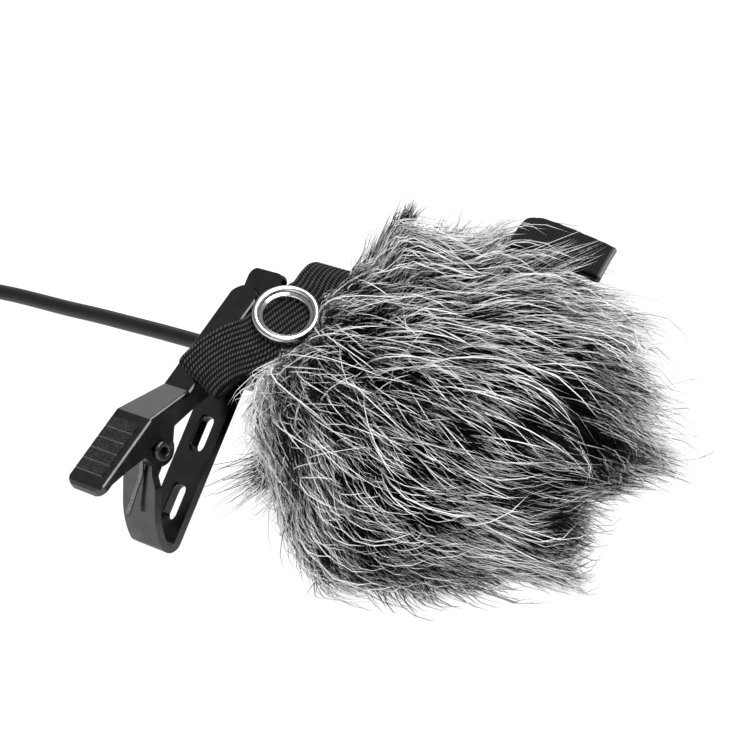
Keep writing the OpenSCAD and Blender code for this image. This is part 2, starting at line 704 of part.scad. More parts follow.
module on_snap(h) { // children stand on the snap's axis, h above its middle
    p = ring_c + h * ring_n;
    stand() translate(p) rotate([0, acos(ring_n[2]), atan2(ring_n[1], ring_n[0])]) children();
}

module snap_ring() { // open ring: a rounded rim and a flange that slopes inwards
    rim_r = 0.56;
    r = ring_d / 2;
    inner = r - ring_rim;
    color("#e4e6e8") on_snap(-ring_h / 2) rotate_extrude() {
        translate([r - rim_r, ring_h - rim_r]) circle(rim_r, $fn = 32);
        polygon([[r - 0.15, 0], [r, 0.3], [r, ring_h - rim_r], [r - 2 * rim_r, ring_h - rim_r],
            [inner + 0.1, ring_h / 2], [inner, ring_h / 2 - 0.15], [inner, 0]]);
    }
}

stud_r = 1.9;

module snap_socket() { // spring socket under the upper layer
    color("#c8cacc") on_snap(-ring_h / 2 - strap_t - 0.1 - socket_h) difference() {
        cylinder(r = 4.8, h = socket_h);
        translate([0, 0, -1]) cylinder(r = stud_r + fit_gap, h = socket_h + 2);
    }
}

module snap_stud() { // stud on the lower layer, pushed into the socket
    base = -ring_h / 2 - strap_t - 0.1 - socket_h - 0.05 - stud_h;
    color("#c8cacc") on_snap(base) {
        cylinder(r = 3.9, h = stud_h);
        cylinder(r = stud_r, h = stud_h + 0.7);
    }
}

module snap_back_ring() {
    top = -ring_h / 2 - 2 * strap_t - socket_h - stud_h - 0.35;
    color("#c8cacc") on_snap(top - 0.3) tube(3.5, 2.6, 0.3);
}

// ---- cable, coil and plug ------------------------------------------------
// Free stretch from the boot: level, then down to the table beyond.
lead_points = [
    [boot_back - mid_x, mic_y, mic_z], [boot_back - mid_x - 4, mic_y, mic_z],
    [-54, 3.8, 24.7], [-62, 3.7, 24.5], [-70, 3.6, 24.3], [-78, 3.4, 24.0],
    [-86, 3.3, 23.8], [-94, 3.3, 23.5], [-101, 3.4, 22.8], [-108, 3.6, 20.6],
    [-115, 3.8, 16.6], [-122, 3.9, 11.6], [-129, 3.9, 7.0], [-136, 3.9, 3.8],
    [-142, 3.9, 2.4], [-147, 3.9, 2.1]
];
coil_low = 2.1; // height of the lowest turns' middle, over the tie
coil_mid_r = 14.5; // middle of the bundle
layer_turns = coil_turns / 4;
coil_in = coil_mid_r - coil_pitch * layer_turns / 2;
coil_out = coil_mid_r + coil_pitch * layer_turns / 2;
coil_y = 3.9 - coil_out; // the first turn starts under the lead
coil_x = -152.6;
coil_extra = 0.5; // half a turn more, to leave on the near side

function wave(s) = abs(s / layer_turns - 2 * floor(s / layer_turns / 2 + 0.5));
function coil_r(s) = s > 4 * layer_turns ? coil_out + (s - 4 * layer_turns) * coil_pitch
    : coil_out - (coil_out - coil_in) * wave(s);
function climb(s) = let (k = round(s / layer_turns), d = s - k * layer_turns)
    k < 1 || k > 3 || abs(d) > 0.25 ? min(floor(s / layer_turns), 3) : k - 0.5 + 2 * d;
function coil_at(s) = [coil_x + coil_r(s) * cos(90 + 360 * s),
    coil_y + coil_r(s) * sin(90 + 360 * s), coil_low + coil_pitch * climb(s)];

coil_end = coil_at(coil_turns + coil_extra);
tail_y = coil_end[1];
tail_points = [
    coil_end + [cable_d + 2, 0, 0], [-142, tail_y, 11.0], [-136, tail_y, 9.6], [-130, tail_y, 7.4],
    [-124, tail_y, 5.4], [-118, tail_y, 4.4], [-113, tail_y, 4.1]
];
plug_at = [-112, tail_y, 4.1];

module cable_lead() {
    from = [mic_back + 1 - mid_x, mic_y, mic_z];
    to = coil_at(0) + [cable_d, 0, 0];
    color("#101010") swept(concat([from], through(lead_points, 2), [to]), 8, cable_d / 2);
}

module cable_coil() {
    rings = 24;
    total = coil_turns + coil_extra;
    turns = [for (i = [0:rings * total]) coil_at(i / rings)];
    echo(coil_least_gap = least_gap(turns));
    path = concat([turns[0] + [cable_d, 0, 0]], turns, [coil_end + [cable_d, 0, 0]]);
    color("#101010") swept(path, 6, cable_d / 2);
}

// Least distance between the coil's points that lie half a turn or more apart,
// less the cable's own diameter.
function least_gap(path) = min([for (i = [0:2:len(path) - 1]) for (j = [i + 13:len(path) - 1])
    norm(path[i] - path[j])]) - cable_d;

module coil_tie() { // a flat tie round the bundle
    tie_w = 5;
    tie_t = 0.5;
    slack = 0.2;
    near = coil_in + coil_pitch / 4 - cable_d / 2 - 3 * slack;
    far = coil_out + coil_pitch / 4 + cable_d / 2 + slack;
    wide = far - near;
    high = coil_pitch * 3 + cable_d + 2 * slack;
    color("#0c0c0c") translate([coil_x - far, coil_y - tie_w / 2, coil_low - cable_d / 2 - slack])
        difference() {
            translate([-tie_t, 0, -tie_t]) cube([wide + 2 * tie_t, tie_w, high + 2 * tie_t]);
            translate([0, -1, 0]) cube([wide, tie_w + 2, high]);
        }
}

module cable_tail() {
    from = coil_end + [cable_d, 0, 0];
    to = plug_at + [1.4, 0, 0];
    color("#101010") swept(concat([from], through(tail_points, 2), [plug_at, to]), 8, cable_d / 2);
}

module on_plug(d) { // children lie along +X on the plug's axis, d from its rear
    translate(plug_at + [d, 0, 0]) rotate([0, 90, 0]) children();
}

plug_boot_len = 9;
collar_len = 1.4;
contact_start = plug_boot_len + barrel_len + collar_len;
sleeve_len = 6.0;
band_len = 0.7;
ring_len = 2.2;
tip_len = 3.6;
core_r = 0.9;

module plug_boot() {
    rings = 4;
    color("#111111") on_plug(0) rotate_extrude() difference() {
        union() {
            polygon([[0, 0], [1.8, 0], [barrel_d / 2 - 1, plug_boot_len], [0, plug_boot_len]]);
            for (k = [0:rings - 1])
                translate([0, 1 + k * 1.9]) square([2.25 + k * 0.28, 0.9]);
        }
        translate([-1, -1]) square([1 + cable_d / 2 + fit_gap, 2.5]);
    }
}

module plug_barrel() { // moulded barrel with a grip waist and a metal-look collar
    r = barrel_d / 2;
    color("#161616") on_plug(plug_boot_len) rotate_extrude() difference() {
        polygon([[0, 0], [r - 0.8, 0], [r, 0.8], [r, 4], [r - 0.4, 4.6], [r - 0.4, barrel_len - 4],
            [r, barrel_len - 3.4], [r, barrel_len - 0.8], [r - 0.8, barrel_len],
            [0, barrel_len]]);
        translate([-1, barrel_len - 3]) square([1 + core_r + 0.02, 4]);
    }
}

module plug_sleeve() { // collar and sleeve contact
    color("#d8c27a") on_plug(contact_start - collar_len) difference() {
        union() {
            cylinder(r = plug_d / 2 + 1, h = collar_len);
            cylinder(r = plug_d / 2, h = collar_len + sleeve_len);
        }
        translate([0, 0, -1]) cylinder(r = core_r + 0.02, h = collar_len + sleeve_len + 2);
    }
}

module plug_ring() {
    color("#d8c27a") on_plug(contact_start + sleeve_len + band_len)
        tube(plug_d / 2, core_r + 0.02, ring_len);
}

module plug_tip() { // grooved tip on the core pin that runs through the plug
    r = plug_d / 2;
    from = contact_start + sleeve_len + 2 * band_len + ring_len;
    color("#d8c27a") on_plug(0) {
        translate([0, 0, contact_start - 3.5]) cylinder(r = core_r, h = from - contact_start + 3.5 + eps);
        translate([0, 0, from]) rotate_extrude() polygon([[0, 0], [r, 0], [r, 0.4], [r - 0.5, 1.2],
            [r - 0.1, 2.0], [0.35, tip_len], [0, tip_len]]);
    }
}

module plug_insulators() { // two bands between the contacts
    color("#0a0a0a") for (d = [0, band_len + ring_len])
        on_plug(contact_start + sleeve_len + d) tube(plug_d / 2, core_r + 0.02, band_len);
}

clip_base();
clip_lever();
pivot_rivet();
torsion_spring();
mic_holder();
holder_rivet();
mic_housing();
mic_grille();
dust_felt();
capsule();
capsule_gasket();
circuit_board();
cable_boot();
foam_liner();
knit_backing();
neck_hem();
fur_pile();
label_tab();
elastic_strap();
snap_ring();
snap_socket();
snap_stud();
snap_back_ring();
cable_lead();
cable_coil();
coil_tie();
cable_tail();
plug_boot();
plug_barrel();
plug_sleeve();
plug_ring();
plug_tip();
plug_insulators();
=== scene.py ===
import json
import math

import bpy
import numpy as np
from mathutils import Matrix, Vector


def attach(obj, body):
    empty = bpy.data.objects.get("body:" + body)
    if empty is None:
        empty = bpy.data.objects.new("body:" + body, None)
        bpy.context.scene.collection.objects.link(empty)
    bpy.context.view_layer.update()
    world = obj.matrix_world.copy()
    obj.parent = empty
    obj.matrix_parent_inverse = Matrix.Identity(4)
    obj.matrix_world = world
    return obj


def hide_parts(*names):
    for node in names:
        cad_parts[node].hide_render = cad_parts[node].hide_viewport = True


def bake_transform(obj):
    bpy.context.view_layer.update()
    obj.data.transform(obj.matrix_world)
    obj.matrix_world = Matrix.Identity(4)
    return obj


# Looks of a lavalier microphone on a tie clip, under a furry windscreen.
# Lengths in the numbers below are millimetres unless a comment says metres.

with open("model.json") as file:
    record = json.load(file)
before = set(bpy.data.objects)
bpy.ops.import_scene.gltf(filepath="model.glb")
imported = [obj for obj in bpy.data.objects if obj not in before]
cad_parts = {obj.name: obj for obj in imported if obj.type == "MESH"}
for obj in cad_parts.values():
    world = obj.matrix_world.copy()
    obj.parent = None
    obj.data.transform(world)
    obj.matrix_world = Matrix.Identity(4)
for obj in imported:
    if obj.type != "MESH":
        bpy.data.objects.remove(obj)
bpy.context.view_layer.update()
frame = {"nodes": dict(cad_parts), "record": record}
scene = bpy.context.scene
scene.view_settings.view_transform = "Standard"
MM = 0.001

# ---- places ----

# The clip's blade: its lean from the table and its upper end. The microphone's
# axis runs along x at AXIS_Y, AXIS_Z; distances along it count from -MIDDLE_X.
LEAN = math.radians(59.2)
BLADE_TIP = np.array([-27.75, 4.817, 39.299])
AXIS_Y, AXIS_Z = 3.881, 24.839
MIDDLE_X = 27.75
STRAP_WIDTH, STRAP_RIBS = 9.4, 11


def on_clip(x, up, out):
    """A point given across the blade, up the blade and out from its face."""
    return BLADE_TIP + np.array([
        x,
        up * math.cos(LEAN) - out * math.sin(LEAN),
        up * math.sin(LEAN) + out * math.cos(LEAN),
    ])


def along_clip(x, up, out):
    """A direction in the same frame."""
    return on_clip(x, up, out) - BLADE_TIP


def smooth_line(points, steps):
    """Points on a smooth curve through the given ones."""
    p = np.asarray(points, float)
    rows = []
    for i in range(len(p) - 1):
        a, b, c = p[max(i - 1, 0)], p[i], p[i + 1]
        d = p[min(i + 2, len(p) - 1)]
        for t in np.arange(steps) / steps:
            rows.append(0.5 * (2 * b + (c - a) * t + (2 * a - 5 * b + 4 * c - d) * t**2
                               + (3 * b - a - 3 * c + d) * t**3))
    rows.append(p[-1])
    return np.array(rows)


def unit(v):
    """Vectors of the same directions and of length one."""
    v = np.asarray(v, float)
    return v / np.maximum(np.linalg.norm(v, axis=-1, keepdims=True), 1e-12)


def headings(path):
    """The way ahead at each point of a path."""
    return unit(np.gradient(np.asarray(path, float), axis=0))


def run_along(path):
    """The length of a path up to each of its points."""
    return np.concatenate([[0], np.cumsum(np.linalg.norm(np.diff(path, axis=0), axis=1))])


def on_axis(x):
    """A place on the microphone's axis."""
    return np.array([x - MIDDLE_X, AXIS_Y, AXIS_Z])


def from_axis(s, r, turn):
    """Points from a distance along the axis, a radius and a turn from the top."""
    return np.stack([s - MIDDLE_X, AXIS_Y - r * np.sin(turn), AXIS_Z + r * np.cos(turn)], -1)


# ---- camera ----

FOCAL_LENGTH, SENSOR_WIDTH = 124.8, 36
CAMERA_TURN, CAMERA_LIFT = math.radians(47), math.radians(16)
CAMERA_PLACE = (0.267602, -0.248187, 0.134026)  # metres


def place_camera():
    """Looks at the piece from the front right and from a little above."""
    lens = bpy.data.cameras.new("camera")
    lens.lens = FOCAL_LENGTH
    lens.sensor_width = SENSOR_WIDTH
    lens.clip_start = 0.01  # metres
    cam = bpy.data.objects.new("camera", lens)
    scene.collection.objects.link(cam)
    turn, flat = CAMERA_TURN, math.cos(CAMERA_LIFT)
    right = Vector((math.cos(turn), math.sin(turn), 0))
    back = Vector((math.sin(turn) * flat, -math.cos(turn) * flat, math.sin(CAMERA_LIFT)))
    pose = Matrix((right, back.cross(right), back)).transposed().to_4x4()
    cam.matrix_world = Matrix.Translation(CAMERA_PLACE) @ pose
    scene.camera = cam


place_camera()

# ---- materials ----


class Value:
    """A number inside a material, for sums written as plain expressions."""

    def __init__(self, tree, socket):
        self.tree, self.socket = tree, socket

    def sum(self, operation, other, flipped=False):
        """The result of a sum with another value or number."""
        node = self.tree.nodes.new("ShaderNodeMath")
        node.operation = operation
        pair = (other, self) if flipped else (self, other)
        for place, item in zip(node.inputs, pair):
            if isinstance(item, Value):
                self.tree.links.new(item.socket, place)
            else:
                place.default_value = item
        return Value(self.tree, node.outputs[0])

    def __add__(self, other):
        return self.sum("ADD", other)

    def __radd__(self, other):
        return self.sum("ADD", other, True)

    def __sub__(self, other):
        return self.sum("SUBTRACT", other)

    def __rsub__(self, other):
        return self.sum("SUBTRACT", other, True)

    def __mul__(self, other):
        return self.sum("MULTIPLY", other)

    def __rmul__(self, other):
        return self.sum("MULTIPLY", other, True)

    def __pow__(self, other):
        return self.sum("POWER", other)


class Finish:
    """A material on one shader, with what changes over its surface."""

    def __init__(self, name, colour, rough, metal=0.0, coat=0.0, **plain):
        self.material = bpy.data.materials.new(name)
        self.material.use_nodes = True
        self.tree = self.material.node_tree
        self.shader = self.tree.nodes["Principled BSDF"]
        self.material.diffuse_color = (*colour, 1)
        self.set("Base Color", (*colour, 1))
        self.set("Roughness", rough)
        self.set("Metallic", metal)
        self.set("Coat Weight", coat)
        for key, number in plain.items():
            self.set(key.replace("_", " "), number)

    def set(self, key, what):
        """Gives the shader's socket a number, a colour or a value."""
        place = self.shader.inputs[key]
        if isinstance(what, Value):
            self.tree.links.new(what.socket, place)
        else:
            place.default_value = what

    def node(self, kind, settings=None, output=0, **inputs):
        """Any node: its settings first, then its sockets (n0, n1 ... by place)."""
        node = self.tree.nodes.new("ShaderNode" + kind)
        for key, number in (settings or {}).items():
            if key == "stops":
                ramp = node.color_ramp.elements
                while len(ramp) < len(number):
                    ramp.new(0.5)
                for stop, (place, tone) in zip(ramp, number):
                    stop.position = place
                    stop.color = (*tone, 1) if hasattr(tone, "__len__") else (tone, tone, tone, 1)
            else:
                setattr(node, key, number)
        for key, number in inputs.items():
            name = key.replace("_", " ")
            numbered = name[0] == "n" and name[1:].isdigit()
            place = node.inputs[int(name[1:]) if numbered else name]
            if isinstance(number, Value):
                self.tree.links.new(number.socket, place)
            else:
                place.default_value = number
        return Value(self.tree, node.outputs[output])

    def place(self):
        """Where a point lies on its own piece."""
        return self.node("TexCoord", output="Object")

    def grain(self, size, detail, rough=0.5):
        """Noise with spots of about size millimetres."""
        return self.node("TexNoise", Vector=self.place(), Scale=1 / (size * MM),
                         Detail=detail, Roughness=rough)

    def ramp(self, value, stops):
        """Tones or colours between stops, picked by a value."""
        return self.node("ValToRGB", {"stops": stops}, Fac=value)

    def colours(self, value, stops):
        """Base colour between stops, picked by a value."""
        self.set("Base Color", self.ramp(value, stops))

    def bump(self, height, depth, strength=1.0):
        """Relief of depth millimetres."""
        self.set("Normal", self.node("Bump", Height=height, Distance=depth * MM, Strength=strength))


def worn(name, colour, rough, spots, stops, gloss, relief, **plain):
    """A finish whose colour, roughness and relief follow one grain.

    spots is the grain's size and detail, gloss the least roughness and what
    the grain adds to it, relief a depth and a strength."""
    f = Finish(name, colour, rough, **plain)
    wear = f.grain(*spots)
    f.colours(wear, stops)
    f.set("Roughness", gloss[0] + wear * gloss[1])
    f.bump(wear, *relief)
    return f.material


def black_coat():
    f = Finish("black_coat", (0.10, 0.10, 0.10), 0.34, metal=1.0)
    speck = f.grain(0.16, 3)
    cloud = f.grain(2.2, 3)
    wear = f.grain(0.6, 4, 0.65)
    f.colours(speck * 0.6 + cloud * 0.4, [
        (0.30, (0.064, 0.064, 0.066)), (0.54, (0.09, 0.09, 0.09)), (0.72, (0.15, 0.15, 0.15))])
    f.set("Roughness", 0.14 + cloud * 0.10 + wear * 0.06)
    f.bump(speck, 0.0016, 0.8)
    return f.material


def polished():
    f = Finish("polished_metal", (0.68, 0.68, 0.69), 0.15, metal=1.0)
    wear = f.grain(0.7, 4)
    scuff = f.grain(0.12, 2)
    f.set("Roughness", 0.12 + wear * 0.12 + scuff * 0.05)
    f.colours(wear, [(0.3, (0.60, 0.60, 0.61)), (0.7, (0.74, 0.74, 0.75))])
    f.bump(scuff, 0.002, 0.4)
    return f.material


def cable_rubber():
    f = Finish("cable_rubber", (0.008, 0.008, 0.0085), 0.42, Specular_IOR_Level=0.35)
    fine = f.grain(0.12, 2)
    cloud = f.grain(5, 2)
    f.colours(cloud * 0.5 + fine * 0.5, [(0.35, 0.005), (0.7, 0.012)])
    f.set("Roughness", 0.36 + cloud * 0.12 + fine * 0.06)
    f.bump(fine, 0.004, 0.5)
    return f.material


def board_green():
    f = Finish("circuit_board", (0.02, 0.12, 0.045), 0.35, coat=0.4)
    lines = f.node("TexBrick", {"offset": 0.5}, Vector=f.place(), Scale=900.0, Mortar_Size=0.03)
    f.colours(lines, [(0.2, (0.012, 0.075, 0.03)), (0.8, (0.03, 0.16, 0.06))])
    f.bump(lines, 0.02)
    return f.material


def open_foam():
    f = Finish("open_foam", (0.05, 0.05, 0.05), 0.95)
    cells = f.node("TexVoronoi", {"feature": "F1"}, Vector=f.place(), Scale=2200.0)
    f.colours(cells, [(0.1, 0.012), (0.7, 0.09)])
    f.bump(cells, 0.25)
    return f.material


def cloth_place(f):
    """Millimetres along and across a woven piece, from its own map."""
    parts = f.node("SeparateXYZ", Vector=f.node("UVMap", {"uv_map": "cloth"}))
    return [Value(f.tree, parts.socket.node.outputs[axis]) for axis in "XY"]


def weave_marks(f, run, side, run_pitch, rib_pitch, slant):
    """Slanted stitches along ribs and the grooves between the ribs: relief, and in colour painted glints on
    the crests and painted shade in the grooves.
    """
    in_rib = f.node("Math", {"operation": "FRACT"}, n0=side * (1 / rib_pitch))
    off = f.node("Math", {"operation": "ABSOLUTE"}, n0=in_rib - 0.5)
    turn = (run * (1 / run_pitch) + in_rib * slant) * math.tau
    stitch_relief_and_glint = f.node("Math", {"operation": "SINE"}, n0=turn) * 0.5 + 0.5
    groove_relief_and_shade = 1 - (off * 2.0) ** 3
    return stitch_relief_and_glint, groove_relief_and_shade


def ribbed_elastic():
    f = Finish("ribbed_elastic", (0.02, 0.02, 0.02), 0.72, Specular_IOR_Level=0.2)
    stitch_relief_and_glint, groove_relief_and_shade = weave_marks(f, *cloth_place(f), 0.46, STRAP_WIDTH / STRAP_RIBS, 1.0)
    fuzz = f.grain(0.10, 3)
    patch = f.grain(1.4, 3)
    # Painted shade and glints: near black in the grooves between the ribs, lighter on the stitch crests,
    # over the thread's own uneven tone.
    rib = groove_relief_and_shade ** 2.2
    tone = rib * (0.35 + 0.65 * stitch_relief_and_glint) * (fuzz + patch * 0.65)
    f.colours(tone, [(0.16, 0.0015), (0.42, 0.009), (0.85, 0.10)])
    f.set("Roughness", 0.62 + fuzz * 0.25)
    f.bump(rib * (0.5 + 0.5 * stitch_relief_and_glint) + fuzz * 0.35, 0.18)
    return f.material


def woven_tape():
    f = Finish("woven_tape", (0.012, 0.012, 0.012), 0.85, Specular_IOR_Level=0.15)
    run, side = cloth_place(f)
    stitch_relief_and_glint, groove_relief_and_shade = weave_marks(f, run, side, 0.5, 0.5, 0.0)
    fuzz = f.grain(0.18, 3)
    # Painted glints and shade: lighter on the thread crests, darker between the threads, over the thread's
    # own fuzz.
    tone = stitch_relief_and_glint * groove_relief_and_shade * 0.6 + fuzz * 0.5
    dark = f.ramp(tone, [(0.15, 0.003), (0.75, 0.013)])
    pale = f.ramp(tone, [(0.15, 0.06), (0.75, 0.34)])
    edge = f.node("MapRange", Value=run, From_Min=12.9, From_Max=14.2)
    f.set("Base Color", f.node("Mix", {"data_type": "RGBA"}, output=2, n0=edge, n6=dark, n7=pale))
    f.bump(stitch_relief_and_glint * groove_relief_and_shade + fuzz * 0.6, 0.10, 0.9)
    return f.material


def knitted():
    f = Finish("black_knit", (0.012, 0.012, 0.012), 0.9, Specular_IOR_Level=0.15)
    rows = f.node("TexWave", {"wave_type": "BANDS", "bands_direction": "X"}, Vector=f.place(),
                  Scale=360.0, Distortion=2.0, Detail=1.0)
    fuzz = f.grain(0.2, 3)
    f.colours(rows * 0.6 + fuzz * 0.4, [(0.2, 0.003), (0.8, 0.022)])
    f.bump(rows + fuzz * 0.5, 0.15)
    return f.material


def hair(name, stops, rough, low, high, shine):
    """Colour runs along each hair by its tone, with a fleck of its own."""
    f = Finish(name, (stops[-1][1],) * 3, rough, Specular_IOR_Level=shine)
    tone = f.node("Attribute", {"attribute_name": "tone"}, output="Fac")
    fleck = f.grain(1.3, 2)
    f.colours(tone + fleck * 0.24 - 0.12, stops)
    f.set("Roughness", low + fleck * (high - low))
    return f.material


# One for each material slot of the record, and two for the scene's own pieces.
FINISHES = {
    "black_steel": black_coat(),
    "black_grip": worn("black_grain", (0.10, 0.10, 0.10), 0.4, (0.13, 2),
                       [(0.35, 0.036), (0.55, 0.08), (0.68, 0.36)], (0.26, 0.2), (0.008, 0.9), metal=1.0),
    "black_rivet": worn("rivet_black", (0.010, 0.010, 0.011), 0.16, (0.5, 3), [(0.35, 0.008), (0.7, 0.016)],
                        (0.10, 0.16), (0.004, 0.5), coat=0.5, Coat_Roughness=0.08),
    "spring_wire": worn("spring_wire", (0.16, 0.16, 0.165), 0.2, (0.3, 4), [(0.35, 0.12), (0.7, 0.24)],
                        (0.14, 0.14), (0.003, 0.5), metal=1.0),
    "bright_metal": polished(),
    "plug_contact": worn("plated_contact", (0.83, 0.66, 0.34), 0.14, (0.5, 4),
                         [(0.3, (0.76, 0.58, 0.27)), (0.7, (0.90, 0.74, 0.42))],
                         (0.09, 0.16), (0.003, 0.4), metal=1.0),
    "capsule_can": worn("capsule_can", (0.68, 0.68, 0.70), 0.3, (0.3, 3), [(0.3, 0.6), (0.7, 0.76)],
                        (0.22, 0.2), (0.004, 0.5), metal=1.0),
    "black_rubber": cable_rubber(),
    "black_plastic": worn("moulded_black", (0.016, 0.016, 0.017), 0.48, (0.09, 3),
                          [(0.35, 0.012), (0.7, 0.024)], (0.40, 0.2), (0.012, 0.7)),
    "board": board_green(),
    "foam": open_foam(),
    "black_knit": knitted(),
    "elastic": ribbed_elastic(),
    "tape": woven_tape(),
}
# Hair: its tones by place, its plain roughness, the least and the most, its shine.
# The lowest tones, at the roots and in the underfur, are near black: black hair, held darker still as
# painted shade in the deep gaps of the pile.
UNDERFUR = hair("underfur", [(0, 0.001), (0.4, 0.004), (0.7, 0.02), (1, 0.10)], 0.5, 0.4, 0.6, 0.04)
TOPFUR = hair("top_fur", [(0, 0.001), (0.25, 0.006), (0.45, 0.07), (0.62, 0.6), (0.85, 0.97)],
              0.4, 0.28, 0.45, 0.3)
GUARD = hair("guard_hair", [(0, 0.7), (0.4, 0.95), (1, 0.99)], 0.32, 0.25, 0.4, 0.5)

SLOT_OF = {s["node"]: s["material_slot"] for s in frame["record"]["subparts"]}


def dress_nodes():
    """Gives every carried-over node its finish."""
    for name, ob in frame["nodes"].items():
        kind = SLOT_OF[name]
        finish = FINISHES["black_knit" if kind == "pile" else kind]
        if not ob.material_slots:
            ob.data.materials.append(finish)
        for s in ob.material_slots:
            s.material = finish


dress_nodes()

# ---- modelling helpers ----


def only(ob):
    """Makes ob the one selected and active object."""
    bpy.ops.object.select_all(action="DESELECT")
    ob.select_set(True)
    bpy.context.view_layer.objects.active = ob


def piece(name, form, slot, body=None, finish=None):
    """Puts a mesh or curve into the scene, in its slot's finish or another."""
    ob = bpy.data.objects.new(name, form)
    scene.collection.objects.link(ob)
    form.materials.append(finish or FINISHES[slot])
    if body:
        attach(ob, body)
    return ob


def mesh_piece(name, points, faces, slot, body=None, finish=None, smooth=True):
    """A piece from points in millimetres."""
    mesh = bpy.data.meshes.new(name)
    mesh.from_pydata((np.asarray(points) * MM).tolist(), [], faces)
    mesh.update()
    ob = piece(name, mesh, slot, body, finish)
    if smooth:
        mesh.shade_smooth()
    return ob


def face_outwards(ob):
    """Turns the faces of a closed piece to look out of it."""
    only(ob)
    bpy.ops.object.mode_set(mode="EDIT")
    bpy.ops.mesh.select_all(action="SELECT")
    bpy.ops.mesh.normals_make_consistent(inside=False)
    bpy.ops.object.mode_set(mode="OBJECT")


FLAT_ANGLE, SMOOTH_ANGLE = math.radians(1.5), math.radians(34)


def eased(node, width, body, angle=38, merge=0.012):
    """A copy of a node with its edges rounded, which stands for it."""
    only(frame["nodes"][node])
    bpy.ops.object.duplicate()
    ob = bpy.context.view_layer.objects.active
    ob.name = node + "_eased"
    ob.data.name = ob.name
    only(ob)
    bpy.ops.mesh.customdata_custom_splitnormals_clear()
    bpy.ops.object.mode_set(mode="EDIT")
    bpy.ops.mesh.select_all(action="SELECT")
    bpy.ops.mesh.remove_doubles(threshold=merge * MM)
    bpy.ops.mesh.dissolve_limited(angle_limit=FLAT_ANGLE)
    bpy.ops.object.mode_set(mode="OBJECT")
    mod = ob.modifiers.new("round", "BEVEL")
    mod.width = width * MM
    mod.segments = 2
    mod.limit_method = "ANGLE"
    mod.angle_limit = math.radians(angle)
    bpy.ops.object.modifier_apply(modifier=mod.name)
    bpy.ops.object.shade_smooth_by_angle(angle=SMOOTH_ANGLE)
    flats = ob.modifiers.new("flats", "WEIGHTED_NORMAL")
    flats.weight = 100
    flats.keep_sharp = True
    bpy.ops.object.modifier_apply(modifier=flats.name)
    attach(ob, body)
    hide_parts(node)


def tube_points(path, ups, section):
    """Points of a swept tube: the section holds a ring's [across, up] pairs."""
    ahead = headings(path)
    ups = unit(ups - (ups * ahead).sum(1, keepdims=True) * ahead)
    across = np.cross(ahead, ups)
    points = path[:, None] + section[:, :1] * across[:, None] + section[:, 1:] * ups[:, None]
    return points.reshape(-1, 3)


def carried_ups(path, first):
    """Up directions that turn no more than the path does."""
    ahead = headings(path)
    ups = [unit(first - (first @ ahead[0]) * ahead[0])]
    for d in ahead[1:]:
        ups.append(unit(ups[-1] - (ups[-1] @ d) * d))
    return np.array(ups)


def ring_faces(rings, sides, joined=False):
    """Faces of a tube of rings, joined to itself or closed at both ends."""
    faces = []
    for i in range(rings if joined else rings - 1):
        here, there = i * sides, (i + 1) % rings * sides
        for k in range(sides):
            b = (k + 1) % sides
            faces.append((here + k, here + b, there + b, there + k))
    if not joined:
        faces.append(tuple(range(sides - 1, -1, -1)))
        faces.append(tuple((rings - 1) * sides + k for k in range(sides)))
    return faces


def strip_faces(a, b, flipped):
    """Four-sided faces between two rows of points."""
    quads = np.stack([a[:-1], a[1:], b[1:], b[:-1]], -1)
    return (quads[:, ::-1] if flipped else quads).tolist()


def cloth_map(ob, run, side):
    """Writes a map that counts millimetres, for woven finishes."""
    layer = ob.data.uv_layers.new(name="cloth")
    corner = np.empty(len(ob.data.loops), np.int32)
    ob.data.loops.foreach_get("vertex_index", corner)
    uv = np.stack([np.asarray(run)[corner], np.asarray(side)[corner]], 1)
    layer.uv.foreach_set("vector", uv.astype(np.float32).ravel())


# ---- cable ----

CABLE_D, CABLE_Y = 2.6, 3.9
COIL_X, COIL_LOW, COIL_PITCH, COIL_MID = -152.6, 2.1, 3.1, 14.5
LAYERS, LAYER_TURNS, COIL_TURNS, TURN_POINTS = 4, 3, 12.5, 24
COIL_IN = COIL_MID - COIL_PITCH * LAYER_TURNS / 2
COIL_OUT = COIL_MID + COIL_PITCH * LAYER_TURNS / 2
COIL_Y = CABLE_Y - COIL_OUT


def coil_point(s):
    """A point on the stored coil after s turns."""
    wave = abs(s / LAYER_TURNS - 2 * math.floor(s / LAYER_TURNS / 2 + 0.5))
    r = COIL_OUT - (COIL_OUT - COIL_IN) * wave
    if s > LAYERS * LAYER_TURNS:
        r = COIL_OUT + (s - LAYERS * LAYER_TURNS) * COIL_PITCH
    k = math.floor(s / LAYER_TURNS + 0.5)
    d = s - k * LAYER_TURNS
    if k < 1 or k > LAYERS - 1 or abs(d) > 0.25:
        level = min(math.floor(s / LAYER_TURNS), LAYERS - 1)
    else:
        level = k - 0.5 + 2 * d
    turn = math.radians(90 + 360 * s)
    return [COIL_X + r * math.cos(turn), COIL_Y + r * math.sin(turn), COIL_LOW + COIL_PITCH * level]


